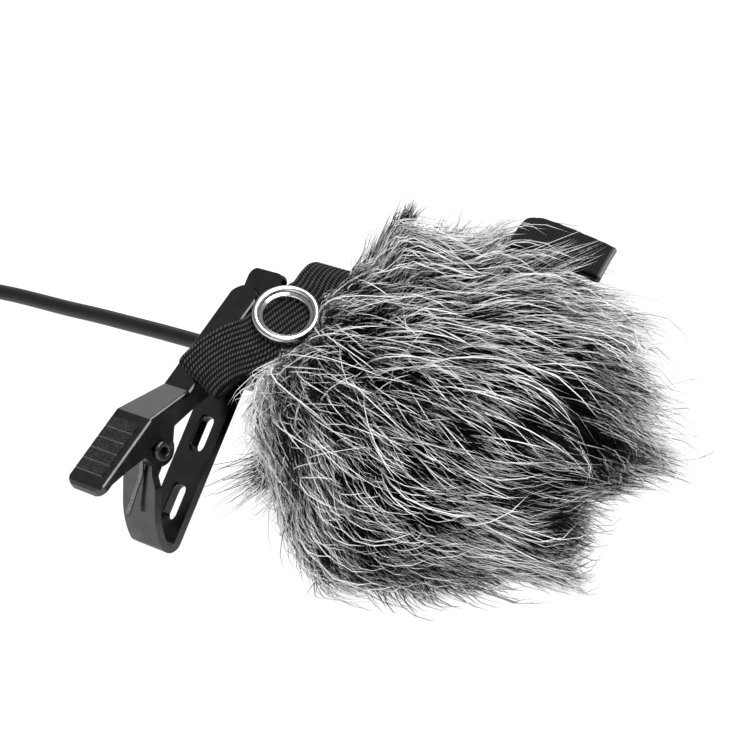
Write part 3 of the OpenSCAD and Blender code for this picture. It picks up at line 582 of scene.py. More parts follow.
def make_cable():
    """The whole cable: its lead from the boot, the stored coil and the tail."""
    lead = [
        [-40.75, AXIS_Y, AXIS_Z], [-44.75, AXIS_Y, AXIS_Z], [-54, 3.8, 24.7], [-62, 3.7, 24.5],
        [-70, 3.6, 24.3], [-78, 3.4, 24.0], [-86, 3.3, 23.8], [-94, 3.3, 23.5], [-101, 3.4, 22.8],
        [-108, 3.6, 20.6], [-115, 3.8, 16.6], [-122, 3.9, 11.6], [-129, 3.9, 7.0], [-136, 3.9, 3.8],
        [-142, 3.9, 2.4], [-147, 3.9, 2.1],
    ]
    coil = [coil_point(i / TURN_POINTS) for i in range(int(TURN_POINTS * COIL_TURNS) + 1)]
    end_x, y, end_z = coil[-1]
    tail = [
        [-142, y, 11.0], [-136, y, 9.6], [-130, y, 7.4], [-124, y, 5.4], [-118, y, 4.4],
        [-113, y, 4.1], [-110.7, y, 4.1],
    ]
    line = np.vstack([smooth_line(lead, 4), coil, [[end_x + 4.6, y, end_z]], smooth_line(tail, 4)])
    curve = bpy.data.curves.new("cable", "CURVE")
    curve.dimensions = "3D"
    curve.bevel_depth = CABLE_D / 2 * MM
    curve.bevel_resolution = 3
    curve.use_fill_caps = True
    spline = curve.splines.new("POLY")
    spline.points.add(len(line) - 1)
    for point, place in zip(spline.points, line * MM):
        point.co = (*place, 1)
    spline.use_smooth = True
    ob = piece("cable", curve, "black_rubber", "root")
    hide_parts("cable_lead", "cable_coil", "cable_tail")


make_cable()

# ---- clip ----

eased("clip_base", 0.16, "root")
eased("clip_lever", 0.14, "lever", angle=16, merge=0.03)
for part, edge in (("mic_holder", 0.10), ("coil_tie", 0.2), ("pivot_rivet", 0.05)):
    eased(part, edge, "root")

PIVOT_UP, PIVOT_OUT = -32.144, 9.891


def make_press_steps():
    """The pressed grip steps, each a ramp that ends in a slanted edge."""
    pitch, high, count, first, face = 1.95, 0.20, 5, 0.75, 5.0
    left, right, slope = -3.6, 2.75, math.radians(17)
    side = [(first + 0.1, face - 0.2)]
    for k in range(count):
        foot = first - k * pitch
        side += [(foot, face + 0.01), (foot - pitch + 0.27, face + high),
                 (foot - pitch + 0.17, face + high - 0.02)]
    side += [(first - count * pitch, face + 0.01), (first - count * pitch, face - 0.2)]
    points = []
    for x in (left, right):
        for along, over in side:
            points.append(on_clip(x, PIVOT_UP + along * math.cos(slope) + over * math.sin(slope),
                                  PIVOT_OUT - along * math.sin(slope) + over * math.cos(slope)))
    ob = mesh_piece("press_steps", points, ring_faces(2, len(side)), "black_steel", "lever",
                    FINISHES["black_grip"], smooth=False)
    face_outwards(ob)


make_press_steps()


def make_spring():
    """Round wire: a close coil on the pivot and its two legs."""
    wire, half, r = 0.7, 1.68, 1.7
    turns_from, turns_to, count = math.radians(-28), math.radians(1153), 64
    spots = []
    # The short leg of the clip: its end, the way along its face and into it.
    end_up, end_out = -34.904, 9.330
    leg_up, leg_out = 0.883, 0.469
    in_up, in_out = 0.469, -0.883
    stand = 0.06 + wire / 2
    for back, off in ((8.3, 1.0), (6.0, 0.68), (3.6, 0.34), (1.3, 0.02)):
        spots.append([(0.92 - 0.171 * back) * half, end_up - back * leg_up - (stand + off) * in_up,
                      end_out - back * leg_out - (stand + off) * in_out])
    for i in range(count + 1):
        a = turns_from + (turns_to - turns_from) * i / count
        spots.append([half - 2 * half * i / count, PIVOT_UP + r * math.sin(a), PIVOT_OUT + r * math.cos(a)])
    spots += [[-half, -34.9, 12.6], [-half, -37.2, 14.85]]
    path = smooth_line([on_clip(*p) for p in spots], 2)
    sides = 10
    turn = np.arange(sides) / sides * math.tau
    ring = np.stack([np.cos(turn), np.sin(turn)], 1) * wire / 2
    points = tube_points(path, carried_ups(path, np.array([1.0, 0, 0])), ring)
    ob = mesh_piece("spring", points, ring_faces(len(path), sides), "spring_wire")
    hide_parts("torsion_spring")
    x, y, z = on_clip(0, PIVOT_UP, PIVOT_OUT) * MM
    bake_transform(ob)


make_spring()

# ---- strap and snap ----

RING_MID = np.array([10.83, -6.37, 3.0])
RING_UP = unit([0.48, 0.42, 0.77])
RING_RUN = unit([0.131, 0.836, -0.534])
RING_WIDE = np.cross(RING_RUN, RING_UP)
TAIL_WIDE = unit([0.909, -0.361, -0.208])
UPPER = RING_MID - 1.35 * RING_UP
LOWER = UPPER - 2.35 * RING_UP


def make_strap():
    """Ribbed elastic: a folded tail, under the ring, round the neck and back."""
    neck_up, neck_out, r = -12.9, -6.6, 6.5
    loop = [[[9.3, neck_up + r * math.cos(a), neck_out + r * math.sin(a)], [1, 0, 0]]
            for a in np.radians(range(-75, -256, -30))]
    # Each place, with the way the band is wide there.
    line = [
        *[[place, TAIL_WIDE] for place in (
            [6.6, -14.6, 5.9], [5.4, -17.1, 6.85], [4.4, -19.5, 7.5], [4.2, -20.2, 8.1], [4.5, -19.7, 8.8],
            [5.6, -17.2, 8.3])],
        [[7.1, -14.6, 7.05], unit(TAIL_WIDE + RING_WIDE)],
        *[[UPPER + far * RING_RUN, RING_WIDE] for far in (-5.6, 0, 5.6)],
        [[10.3, 1.1, -2.3], [1, -0.15, -0.2]], [[9.8, 2.9, -3.6], [1, -0.1, -0.1]],
        *[[place, [1, 0, 0]] for place in (
            [9.3, 3.7, -5.4], [9.3, 2.9, -7.7], [9.3, -0.3, -10.4], [9.3, -5.0, -12.6])],
        *loop,
        [LOWER - 6.2 * RING_RUN - 1.2 * RING_UP + np.array([0.45, 0, 0]),
         unit(np.array([1, 0, 0]) + RING_WIDE)],
        *[[LOWER + far * RING_RUN, RING_WIDE] for far in (-4.4, 0, 4.8)],
    ]
    steps = 6
    path = smooth_line([on_clip(*p) for p, _ in line], steps)
    wide = smooth_line([along_clip(*w) for _, w in line], steps)
    width, thick, per = STRAP_WIDTH, 0.62, 6
    n = STRAP_RIBS * per + 1
    side = np.linspace(-width / 2, width / 2, n)
    rib = np.abs(np.sin(np.arange(n) / per * math.pi))
    edge = np.clip((width / 2 - np.abs(side)) / 0.35, 0, 1) ** 0.5
    height = thick / 2 * (0.35 + 0.65 * edge) + 0.17 * rib
    upper = np.stack([side, height], 1)
    section = np.vstack([upper, upper[::-1] * [1, -1]])
    points = tube_points(path, np.cross(wide, headings(path)), section)
    count = len(section)
    ob = mesh_piece("strap", points, ring_faces(len(path), count), "elastic")
    cloth_map(ob, np.repeat(run_along(path), count), np.tile(section[:, 0] + width / 2, len(path)))
    ob.data.validate()
    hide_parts("elastic_strap")
    a, b = on_clip(9.0, -11.5, 4.0) * MM, on_clip(6.0, -17.0, 6.5) * MM
    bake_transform(ob)


make_strap()

# ---- label tab ----

TAB_WIDTH = 9.0
# Where the tab comes out of the fur, and how it is turned.
TAB_ROOT = np.array([45.6 - MIDDLE_X, AXIS_Y + 8, AXIS_Z + 27.3])
TAB_TURN = np.array(Matrix.Rotation(math.radians(31), 3, "Z") @ Matrix.Rotation(math.radians(15), 3, "Y")
                    @ Matrix.Rotation(math.radians(14), 3, "X"))


def make_tab():
    """A folded tape: down the backing, out of the fur, and back on itself."""
    bend = [[0, -16.4], [0, -12], [0, -7], [0.1, -3], [0.5, -0.9], [1.6, 0.1], [4, 0.4], [7.5, 0.25],
            [11, -0.1], [13.6, -0.45]]
    mid = smooth_line([[x, 0, z] for x, z in bend], 5)
    run = run_along(mid) - 16
    ahead = headings(mid)
    out = np.cross(ahead, [0, 1, 0])
    gap, thick = 0.42, 0.34
    tip = []
    for a in np.radians(np.linspace(90, -90, 9)[1:-1]):
        tip.append(mid[-1] + gap * (math.sin(a) * out[-1] + math.cos(a) * ahead[-1]))
    line = np.vstack([mid + gap * out, tip, (mid - gap * out)[::-1]])
    total = np.concatenate([run, np.full(len(tip), run[-1] + 0.5), run[::-1]])
    n = 25
    side = np.linspace(-TAB_WIDTH / 2, TAB_WIDTH / 2, n)
    rng = np.random.default_rng(31)
    fray = rng.normal(0, 0.06, (2, len(line)))
    normal = np.cross(headings(line), [0, 1, 0])
    sheet = line[:, None] + np.stack([0 * side, side, -0.012 * side**2], 1)
    sheet[:, 0, 1] += fray[0]
    sheet[:, -1, 1] += fray[1]
    points = np.concatenate([sheet + layer * thick / 2 * normal[:, None] for layer in (1, -1)])
    rows = len(line)
    grid = np.arange(2 * rows * n).reshape(2, rows, n)
    faces = []
    for layer in (0, 1):
        for i in range(rows - 1):
            faces += strip_faces(grid[layer, i], grid[layer, i + 1], layer == 0)
    for k in (0, n - 1):
        faces += strip_faces(grid[0, :, k], grid[1, :, k], k == 0)
    for i in (0, rows - 1):
        faces += strip_faces(grid[0, i], grid[1, i], i > 0)
    points = points.reshape(-1, 3) @ TAB_TURN.T + TAB_ROOT
    ob = mesh_piece("tab", points, faces, "black_knit", "windscreen", FINISHES["tape"])
    cloth_map(ob, np.tile(np.repeat(total, n), 2), np.tile(side + TAB_WIDTH / 2, 2 * rows))
    face_outwards(ob)
    bpy.ops.object.shade_smooth_by_angle(angle=math.radians(50))
    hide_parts("label_tab")


make_tab()

# ---- neck hem and foam ----


def turned(name, profile, slot, ripple=0.0, gathers=0):
    """A closed body of revolution on the microphone's axis, with gathers.

    The profile gives places along the axis, radii and shares of the ripple."""
    sides = 96
    rng = np.random.default_rng(1)
    angle = np.arange(sides) / sides * math.tau
    wave = np.cos(angle * gathers) + 0.5 * np.cos(angle * (gathers - 5) + rng.uniform(0, 6))
    points = np.concatenate([from_axis(np.full(sides, x), r + ripple * share * wave, angle)
                             for x, r, share in profile])
    ob = mesh_piece(name, points, ring_faces(len(profile), sides, True), slot, "windscreen")
    face_outwards(ob)
    return ob


def make_neck():
    """The gathered hem at the strap, and the foam inside it."""
    hem = [[5.05, 4.85, 0], [5.0, 5.1, 0.6], [5.15, 5.4, 1], [5.7, 5.5, 1], [6.6, 5.3, 1], [7.4, 5.5, 1],
           [9, 5.42, 1], [12, 5.45, 1], [14.5, 5.5, 1], [14.5, 4.65, 0], [10, 4.65, 0], [6, 4.65, 0]]
    ob = turned("neck_gather", hem, "black_knit", 0.09, 26)
    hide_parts("neck_hem")
    arc = [[25.7 + 4.5 * math.sin(a), 4.5 * math.cos(a), 0] for a in np.linspace(0, 1.50, 9)]
    foam = [[5.2, 4.22, 0], [4.95, 4.3, 0], [4.95, 4.42, 0], [5.3, 4.52, 0], [12, 4.52, 0], [20, 4.52, 0],
            *arc, [30.2, 0.05, 0], [13.2, 0.05, 0], [13.2, 4.2, 0]]
    ob = turned("foam_sleeve", foam, "foam")
    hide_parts("foam_liner")


make_neck()

# ---- fur ----

# Two directions over the pile's broad side, and the way it faces.
BROAD_RIGHT = np.array([0.682, 0.7314, 0.0])
BROAD_UP = np.array([-0.2016, 0.1880, 0.9613])
BROAD_OUT = np.array([0.7030, -0.6556, 0.2756])
LOBE_MID, LOBE_RADIUS, MOST_LOBE = on_axis(41.75), 27.2, 5
# A direction over that side, in degrees, and how far the pile stands out there.
LOBES = np.array([
    (0, 1.0), (14, 0.2), (27, 1.0), (41, -1.0), (60, -0.9), (74, -1.4), (85, -3.8), (95, -2.6),
    (106, -0.2), (116, -2.6), (130, -1.8), (145, 0), (195, 0), (214, 0.4), (232, -0.8), (246, -3.6),
    (262, -5.0), (284, -5.0), (298, -3.2), (308, -0.2), (318, -2.9), (329, -5.0), (341, -0.9), (351, 1.6),
])


def lobed(path):
    """Moves points of the round pile out to its lobes."""
    off = path - LOBE_MID
    a, b = off @ BROAD_RIGHT, off @ BROAD_UP
    far = np.hypot(a, b)
    angle = np.degrees(np.arctan2(b, a)) % 360
    out = np.interp(angle, LOBES[:, 0], LOBES[:, 1], period=360) * (far / LOBE_RADIUS) ** 2.5
    out = np.clip(out, -MOST_LOBE, MOST_LOBE) / np.maximum(far, 0.01)
    return path + (out * a)[..., None] * BROAD_RIGHT + (out * b)[..., None] * BROAD_UP


# The backing under the fur: its ends and its radii, and where hair grows on it.
SKIN_FIRST, SKIN_LAST, SKIN_NECK, SKIN_WIDE, SKIN_FULLEST = 14.4, 49.5, 5.5, 14.0, 0.45
HAIR_LAST = 49.3


def skin_radius(s):
    """Radius of the pear-shaped backing at a distance along the axis."""
    middle = SKIN_FIRST + (SKIN_LAST - SKIN_FIRST) * SKIN_FULLEST
    t = np.clip((s - SKIN_FIRST) / (middle - SKIN_FIRST), 0, 1)
    rise = SKIN_NECK + (SKIN_WIDE - SKIN_NECK) * (1.4 * t - 0.4 * t**3)
    fall = SKIN_WIDE * np.sqrt(np.clip(1 - ((s - middle) / (SKIN_LAST - middle)) ** 2, 0, 1))
    return np.where(s < middle, rise, fall)


def lumps(s, turn, seed, count=14):
    """A slow, uneven factor over the pile."""
    rng = np.random.default_rng(seed)
    total = np.zeros(np.broadcast(s, turn).shape)
    for _ in range(count):
        a, b, c = rng.uniform(0.05, 0.22), rng.integers(1, 5), rng.uniform(0, math.tau)
        total += np.cos(s * a + turn * b + c)
    return total / math.sqrt(count)


# The pile's outer form: its reach from a middle point, by degrees from the mic's axis.
PILE_MID = on_axis(38.0)
REACH = np.array([
    (0, 31.5), (29, 30.8), (43, 30.1), (65, 28.7), (85, 27.7), (99, 25.6), (115, 23.6), (142, 22.9),
    (161, 25.4), (180, 24.5),
])
NECK_AT = on_axis(8.0)
DROOP = np.array([0.0, 0.0, -0.05])


def envelope(way):
    """The pile's reach from its middle in each direction."""
    angle = np.degrees(np.arccos(np.clip(way[..., 0], -1, 1)))
    reach = np.interp(angle, REACH[:, 0], REACH[:, 1])
    turn = np.arctan2(-way[..., 1], way[..., 2])
    return reach * (1 + 0.04 * lumps(38 + reach * way[..., 0], turn, 5) * np.sin(np.radians(angle)))


def level(place):
    """How far out in the pile a point lies: 1 at its outside."""
    off = place - PILE_MID
    far = np.linalg.norm(off, axis=-1)
    return far / envelope(off / np.maximum(far, 1e-6)[..., None])


def outward(place):
    """The direction straight out of the pile."""
    here = level(place)
    steps = [level(place + 0.4 * axis) - here for axis in np.eye(3)]
    return unit(np.stack(steps, -1))


def on_skin(s, turn, depth):
    """Where a hair leaves the backing, at a share of its radius."""
    return from_axis(s, skin_radius(s) * depth, turn)


def turned_aside(s, turn, rng, swing):
    """How far hairs turn aside: in waves over the pile, and each by itself."""
    return 0.13 * lumps(s * 1.3, turn, 8, 18) + rng.normal(0, swing, len(s))


def root_places(count, rng, first=SKIN_FIRST, last=HAIR_LAST):
    """Where hairs leave the backing: distance along the axis and turn."""
    table = np.linspace(first, last, 300)
    weight = skin_radius(table) + 3.0
    s = np.interp(rng.uniform(0, 1, count), np.cumsum(weight) / weight.sum(), table)
    return s, rng.uniform(-math.pi, math.pi, count)


def flow(root, length, height, heading, n, stiff):
    """Hair paths that rise to their own height in the pile and lie away from the neck."""
    place, path = root, [root]
    ahead = unit(unit(root - NECK_AT) + 0.5 * outward(root))
    step = (length / (n - 1))[:, None]
    for _ in range(n - 1):
        out = outward(place)
        want = unit(place - NECK_AT) + DROOP
        along = want - (want * out).sum(-1, keepdims=True) * out
        aside = along * np.cos(heading)[:, None] + np.cross(out, along) * np.sin(heading)[:, None]
        lift = np.clip((height - level(place)) * 2.6, -0.5, 1.1)[:, None]
        ahead = unit(ahead * stiff + unit(aside + lift * out) * (1 - stiff))
        place = place + ahead * step
        path.append(place)
    return np.stack(path, 1)


def gathered(path, rng, clumps, pull, spread):
    """Draws neighbouring hairs together towards their ends; also tells each hair's lock."""
    pick = rng.choice(len(path), clumps, replace=False)
    mark = np.concatenate([path[:, 0], 0.45 * path[:, -1]], 1)
    nearest = np.empty(len(path), np.int64)
    block = 3000
    for a in range(0, len(path), block):
        gap = ((mark[a:a + block, None] - mark[pick][None]) ** 2).sum(2)
        nearest[a:a + block] = gap.argmin(1)
    t = np.linspace(0, 1, path.shape[1])[None, :, None]
    share = np.clip(rng.normal(pull, 0.15, len(path)), 0, 0.97)[:, None, None] * t ** 0.9
    aside = rng.normal(0, spread, (len(path), 1, 3)) * t
    return path * (1 - share) + (path[pick[nearest]] + aside) * share, nearest


def bent(root, a, b, end, n):
    """Points along smooth curves from root to end, by way of a and b."""
    t = np.linspace(0, 1, n)[None, :, None]
    return ((1 - t) ** 3 * root[:, None] + 3 * (1 - t) ** 2 * t * a[:, None]
            + 3 * (1 - t) * t**2 * b[:, None] + t**3 * end[:, None])


def own_ways(path, rng):
    """Steps along the hairs, the way each goes, and a side of its own."""
    count, n = path.shape[:2]
    ahead = unit(path[:, -1] - path[:, 0])
    return count, np.linspace(0, 1, n)[None], ahead, unit(np.cross(ahead, rng.normal(0, 1, (count, 3))))


def waved(path, rng, wave, low=1.5, high=4.2):
    """Adds a slow wave of its own to every hair."""
    count, t, ahead, side = own_ways(path, rng)
    for vec in (side, np.cross(ahead, side)):
        phase, rate = rng.uniform(0, math.tau, (count, 1)), rng.uniform(low, high, (count, 1))
        size = np.abs(rng.normal(0, wave, (count, 1)))
        path = path + (size * (np.sin(phase + rate * t) - np.sin(phase)) * t**0.7)[..., None] * vec[:, None]
    return path


def curled(path, rng, size):
    """Adds loose, uneven curls along every hair."""
    count, t, ahead, side = own_ways(path, rng)
    phase, turns = rng.uniform(0, math.tau, (count, 1)), rng.uniform(1.2, 3.2, (count, 1)) * math.tau
    wide = size * rng.uniform(0.4, 1.6, (count, 1)) * np.clip(t * 4, 0, 1)
    angle = phase + turns * t ** rng.uniform(0.7, 1.5, (count, 1))
    other = unit(ahead + np.cross(ahead, side))
    return (path + (wide * (np.cos(angle) - np.cos(phase)))[..., None] * side[:, None]
            + (wide * (np.sin(angle) - np.sin(phase)))[..., None] * other[:, None])


# Hair on the table: where it starts to lie, its lowest, how it spreads, from where.
LIE_HIGH, LIE_LOW, LIE_SPREAD, PILE_FOOT = 0.35, 0.12, 0.35, 44.0


def settle(path):
    """Keeps hair on the table: what would go under it spreads out."""
    z = path[..., 2]
    low = np.clip(LIE_HIGH - z, 0, None)
    away = path - on_axis(PILE_FOOT)
    away[..., 2] = 0
    path = path + unit(away) * (low * LIE_SPREAD)[..., None]
    lain = LIE_LOW + 0.3 * np.exp(-low * 0.5) * (0.5 + 0.5 * np.sin(low * 9.1))
    path[..., 2] = np.maximum(np.where(z < LIE_HIGH, lain, z), LIE_LOW)
    return path


RING_AT = on_clip(*(RING_MID + 0.3 * RING_UP))
# Balls that no hair enters, each a place on the clip and a radius.
KEEP_OUT = [(RING_AT, 6.2)] + [(on_clip(*at), r) for *at, r in (
    (9.6, -12.4, 5.4, 5.4), (7.0, -16.5, 7.9, 5.2), (10.6, -1.0, 0.8, 5.4), (9.8, 2.8, -3.4, 5.2),
    (9.3, 1.6, -8.0, 5.0), (0, -6, 3, 6.0), (0, -14, 4, 6.0), (0, -22, 6, 6.0), (0, -30, 9, 7.0),
    (0, -38, 10, 7.0), (0, -12.9, -6.6, 6.5))]
# Rounds that hair leaves open as seen from the broad side.
PARTED = [(RING_AT, 5.5)] + [(on_clip(*at), r) for *at, r in (
    (8.9, -11.4, 5.2, 4.6), (6.4, -16.5, 8.2, 5.0), (10.2, 2.4, -2.6, 3.4), (6.2, 2.0, -4.0, 3.0),
    (12.2, -3.5, 1.0, 2.6))]


def clear_of_clip(path):
    """True for hairs that touch neither the clip nor the strap nor the tab."""
    good = np.ones(len(path), bool)
    for middle, r in KEEP_OUT:
        good &= np.linalg.norm(path - middle, axis=2).min(1) > r
    for middle, r in PARTED:
        off = path - middle
        front = off @ BROAD_OUT
        aside = np.linalg.norm(off - front[..., None] * BROAD_OUT, axis=2)
        good &= ~((front > -1) & (aside < r)).any(1)
    # The tab, its seen part and its stem, with a little room round both.
    x, y, z = np.moveaxis((path - TAB_ROOT) @ TAB_TURN, -1, 0)
    band = (np.abs(z + 0.1) < 1.1) & (x > -0.9) & (x < 14.6)
    stem = (np.abs(x) < 1.0) & (z < 0) & (z > -17)
    good &= ~((np.abs(y) < TAB_WIDTH / 2 + 0.2) & (band | stem)).any(1)
    # The clip's whole box, in its own frame.
    x, y, z = np.moveaxis(path - BLADE_TIP, -1, 0)
    up = y * math.cos(LEAN) + z * math.sin(LEAN)
    out = -y * math.sin(LEAN) + z * math.cos(LEAN)
    inside = (np.abs(x) < 5.2) & (out > -2.4) & (out < 19) & (up > -47) & (up < 1.0)
    return good & ~inside.any(1)


TAPER_POWER = 2.2


def hair_piece(name, path, thick, tone, shade, finish, rng, taper):
    """One mesh of many closed, tapering three-sided hairs."""
    count, n = path.shape[:2]
    ahead = unit(np.gradient(path, axis=1))
    side = unit(np.cross(ahead, rng.normal(0, 1, (count, 1, 3))))
    other = np.cross(ahead, side)
    t = np.linspace(0, 1, n)
    r = (thick[:, None] * (1 - taper * t[None] ** TAPER_POWER))[:, :-1, None]
    rings = []
    for k in range(3):
        a = k * math.tau / 3
        rings.append(path[:, :-1] + r * (math.cos(a) * side[:, :-1] + math.sin(a) * other[:, :-1]))
    body = np.stack(rings, 2).reshape(count, (n - 1) * 3, 3)
    points = np.concatenate([body, path[:, -1:]], 1)
    per = points.shape[1]
    faces = [(0, 2, 1)]
    for i in range(n - 2):
        for k in range(3):
            a, b = i * 3 + k, i * 3 + (k + 1) % 3
            faces += [(a, b, b + 3), (a, b + 3, a + 3)]
    for k in range(3):
        faces.append(((n - 2) * 3 + k, (n - 2) * 3 + (k + 1) % 3, per - 1))
    faces = np.array(faces, np.int32)
    index = (np.arange(count, dtype=np.int32)[:, None, None] * per + faces[None]).reshape(-1)
    mesh = bpy.data.meshes.new(name)
    mesh.vertices.add(count * per)
    mesh.vertices.foreach_set("co", (points * MM).astype(np.float32).ravel())
    total = count * len(faces)
    mesh.loops.add(total * 3)
    mesh.loops.foreach_set("vertex_index", index)
    mesh.polygons.add(total)
    mesh.polygons.foreach_set("loop_start", np.arange(total, dtype=np.int32) * 3)
    mesh.polygons.foreach_set("use_smooth", np.ones(total, bool))
    mesh.update(calc_edges=True)
    tones = mesh.attributes.new("tone", "FLOAT", "POINT")
    along = np.concatenate([np.repeat(t[:-1], 3), [1.0]])
    tones.data.foreach_set("value", tone(along[None], shade, rng).astype(np.float32).ravel())
    grid = math.ceil(math.sqrt(count))
    cell = np.arange(count)
    across = np.concatenate([np.tile([0.12, 0.5, 0.88], n - 1), [0.5]])
    place = np.stack([(cell % grid)[:, None] + across, (cell // grid)[:, None] + 0.08 + 0.84 * along], -1)
    uv = (place / grid).reshape(-1, 2)[index]
    mesh.uv_layers.new(name="OFBake").uv.foreach_set("vector", uv.astype(np.float32).ravel())
    piece(name, mesh, "pile", "windscreen", finish)


def grown(name, path, rng, thick, tone, finish, shade=None, taper=0.8, shape=True):
    """Shapes, settles and trims hairs, and makes their mesh."""
    if shape:
        path = lobed(path)
    path = settle(path)
    if shade is None:
        shade = rng.uniform(0, 1, len(path))
    keep = clear_of_clip(path)
    path, shade = path[keep], shade[keep][:, None]
    size = np.clip(rng.normal(thick, thick * 0.22, len(path)), thick * 0.5, thick * 1.7)
    hair_piece(name, path, size, tone, shade, finish, rng, taper)


def pile_batch(name, count, seed, length, height, thick, tone, finish, n, clumps, pull, wave=0.5):
    """Hairs of the pile, in clumps that lie away from the neck."""
    rng = np.random.default_rng(seed)
    s, turn = root_places(count, rng)
    root = on_skin(s, turn, 0.97)
    reach = np.clip(rng.normal(length, length * 0.13, count), 8, 34)
    high = rng.uniform(*height, count) + 0.05 * rng.normal(0, 1, count)
    aside = turned_aside(s, turn, rng, 0.16)
    path = flow(root, reach, high, aside, n, 0.68)
    path, lock_of = gathered(path, rng, clumps, pull, 0.9)
    shade = rng.uniform(0, 1, count) + rng.normal(0, 0.22, clumps)[lock_of]
    # Painted shade: darker towards the neck, on the strap's side, where the strap shades the pile.
    near = np.clip((33 - s) / 9, 0, 1) * np.clip(1.6 * np.cos(turn - 1.9), 0, 1)
    shade = np.clip(shade * (1 - 0.5 * near), 0, 1)
    grown(name, waved(path, rng, wave), rng, thick, tone, finish, shade)


def loose_batch(name, count, seed, first, last, length, swing, height, thick, n, wave, side=None, curl=0.0):
    """Long pale hairs that lie over the pile at many angles.

    side, where given, is the turn they grow at and how far to either hand."""
    rng = np.random.default_rng(seed)
    s, turn = root_places(count, rng, first, last)
    if side:
        turn = side[0] + turn * side[1] / math.pi
    root = on_skin(s, turn, 0.98)
    reach = np.clip(rng.normal(length, length * 0.25, count), 6, 36)
    aside = turned_aside(s, turn, rng, swing)
    path = flow(root, reach, rng.uniform(*height, count), aside, n, 0.72)
    path = waved(path, rng, wave, 2.0, 7.0)
    if curl:
        path = curled(path, rng, curl)
    grown(name, path, rng, thick, white_tone, GUARD, taper=0.6)


def lock(name, count, seed, roots, tips, spread, bow, thick, tone, finish, n=9, wave=0.5):
    """A lock of hair between two places, each with a spread."""
    rng = np.random.default_rng(seed)
    s = rng.uniform(*roots[0], count)
    turn = rng.uniform(*roots[1], count)
    root = on_skin(s, turn, 0.97)
    share = rng.uniform(0, 1, (count, 1)) ** 1.3
    tips = np.asarray(tips, float)
    line = tips[0] + (tips[1] - tips[0]) * share
    end = line + rng.normal(0, 1, (count, 3)) * np.asarray(spread)
    length = rng.uniform(0.72, 1.0, (count, 1))
    end = root + (end - root) * length
    mid = (root + end) / 2 + np.asarray(bow)
    path = waved(bent(root, root * 0.35 + mid * 0.65, mid * 0.5 + end * 0.5, end, n), rng, wave)
    grown(name, path, rng, thick, tone, finish, taper=0.85, shape=False)


def make_undercoat():
    """The dense, matted body of the pile, under the loose hair."""
    rows, sides = 72, 144
    angle = np.linspace(math.pi - 0.18, 0.01, rows)
    turn = np.arange(sides) / sides * math.tau
    aa, tt = np.meshgrid(angle, turn, indexing="ij")
    way = np.stack([np.cos(aa), -np.sin(aa) * np.sin(tt), np.sin(aa) * np.cos(tt)], -1)
    streak = np.cos(tt * 37 + aa * 9) * np.cos(tt * 23 - aa * 5)
    far = envelope(way) * (0.86 + 0.02 * streak)
    points = lobed(PILE_MID + way * far[..., None]).reshape(-1, 3)
    points[:, 2] = np.maximum(points[:, 2], 0.9)
    ob = mesh_piece("fur_body", points, ring_faces(rows, sides), "pile", "windscreen", UNDERFUR)
    # Near black: the black underfur, held darker still as painted shade between the loose hairs.
    tone = ob.data.attributes.new("tone", "FLOAT", "POINT")
    tone.data.foreach_set("value", (0.06 + 0.10 * streak.ravel()).astype(np.float32))
    face_outwards(ob)
    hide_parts("fur_pile", "knit_backing")


# Tones: along runs from a hair's root to its tip, shade is each hair's own. All but the pale tone darken
# towards the root: painted shade deep in the pile.
def dark_tone(along, shade, rng):
    return (0.04 + 0.45 * shade**2) * (0.25 + 0.85 * along)


def mixed_tone(along, shade, rng):
    tip = np.where(shade < 0.70, 0.02 + 0.22 * shade, np.clip(0.56 + 1.3 * (shade - 0.70), 0, 1))
    # Painted shade: each hair stays dark from its root for a random share of its length, then brightens to
    # its tip.
    start = rng.uniform(0.0, 0.4, shade.shape)
    rise = np.clip((along - start) / (0.7 - start), 0, 1)
    return 0.03 + (tip - 0.03) * rise


def grey_tone(along, shade, rng):
    return (0.35 + 0.45 * shade) * (0.02 + 0.98 * along ** 2)


def pale_tone(along, shade, rng):
    return 0.1 + 0.4 * shade + 0 * along


def white_tone(along, shade, rng):
    return (0.35 + 0.65 * shade) * (0.5 + 0.5 * np.clip(along * 3, 0, 1))


# Name, hairs, seed, first and last root along the axis, length, swing aside,
# height in the pile, thickness, points, wave, side, curl.
LOOSE = [
    ("fur_guard_1", 3000, 41, SKIN_FIRST, 46, 23, 0.26, (0.97, 1.03), 0.122, 10, 0.5),
    ("fur_guard_2", 1800, 42, SKIN_FIRST, 40, 17, 0.70, (0.98, 1.05), 0.112, 12, 0.8),
    ("fur_guard_3", 2900, 46, 28, 46, 20, 0.24, (0.98, 1.04), 0.11, 9, 0.3),
    ("fur_neck", 800, 43, SKIN_FIRST, 20, 20, 0.45, (0.98, 1.08), 0.11, 12, 0.9),
    ("fur_stray", 1300, 45, 14.6, 34, 13, 1.7, (1.01, 1.10), 0.105, 8, 0.3, (1.6, 1.3)),
    ("fur_stray_2", 900, 47, 15, 30, 13, 0.8, (1.0, 1.08), 0.1, 8, 0.3, (1.5, 0.7)),
    ("fur_tangle", 1000, 44, SKIN_FIRST, 32, 14, 1.4, (1.0, 1.06), 0.09, 26, 0.6, (1.4, 1.4), 1.1),
]
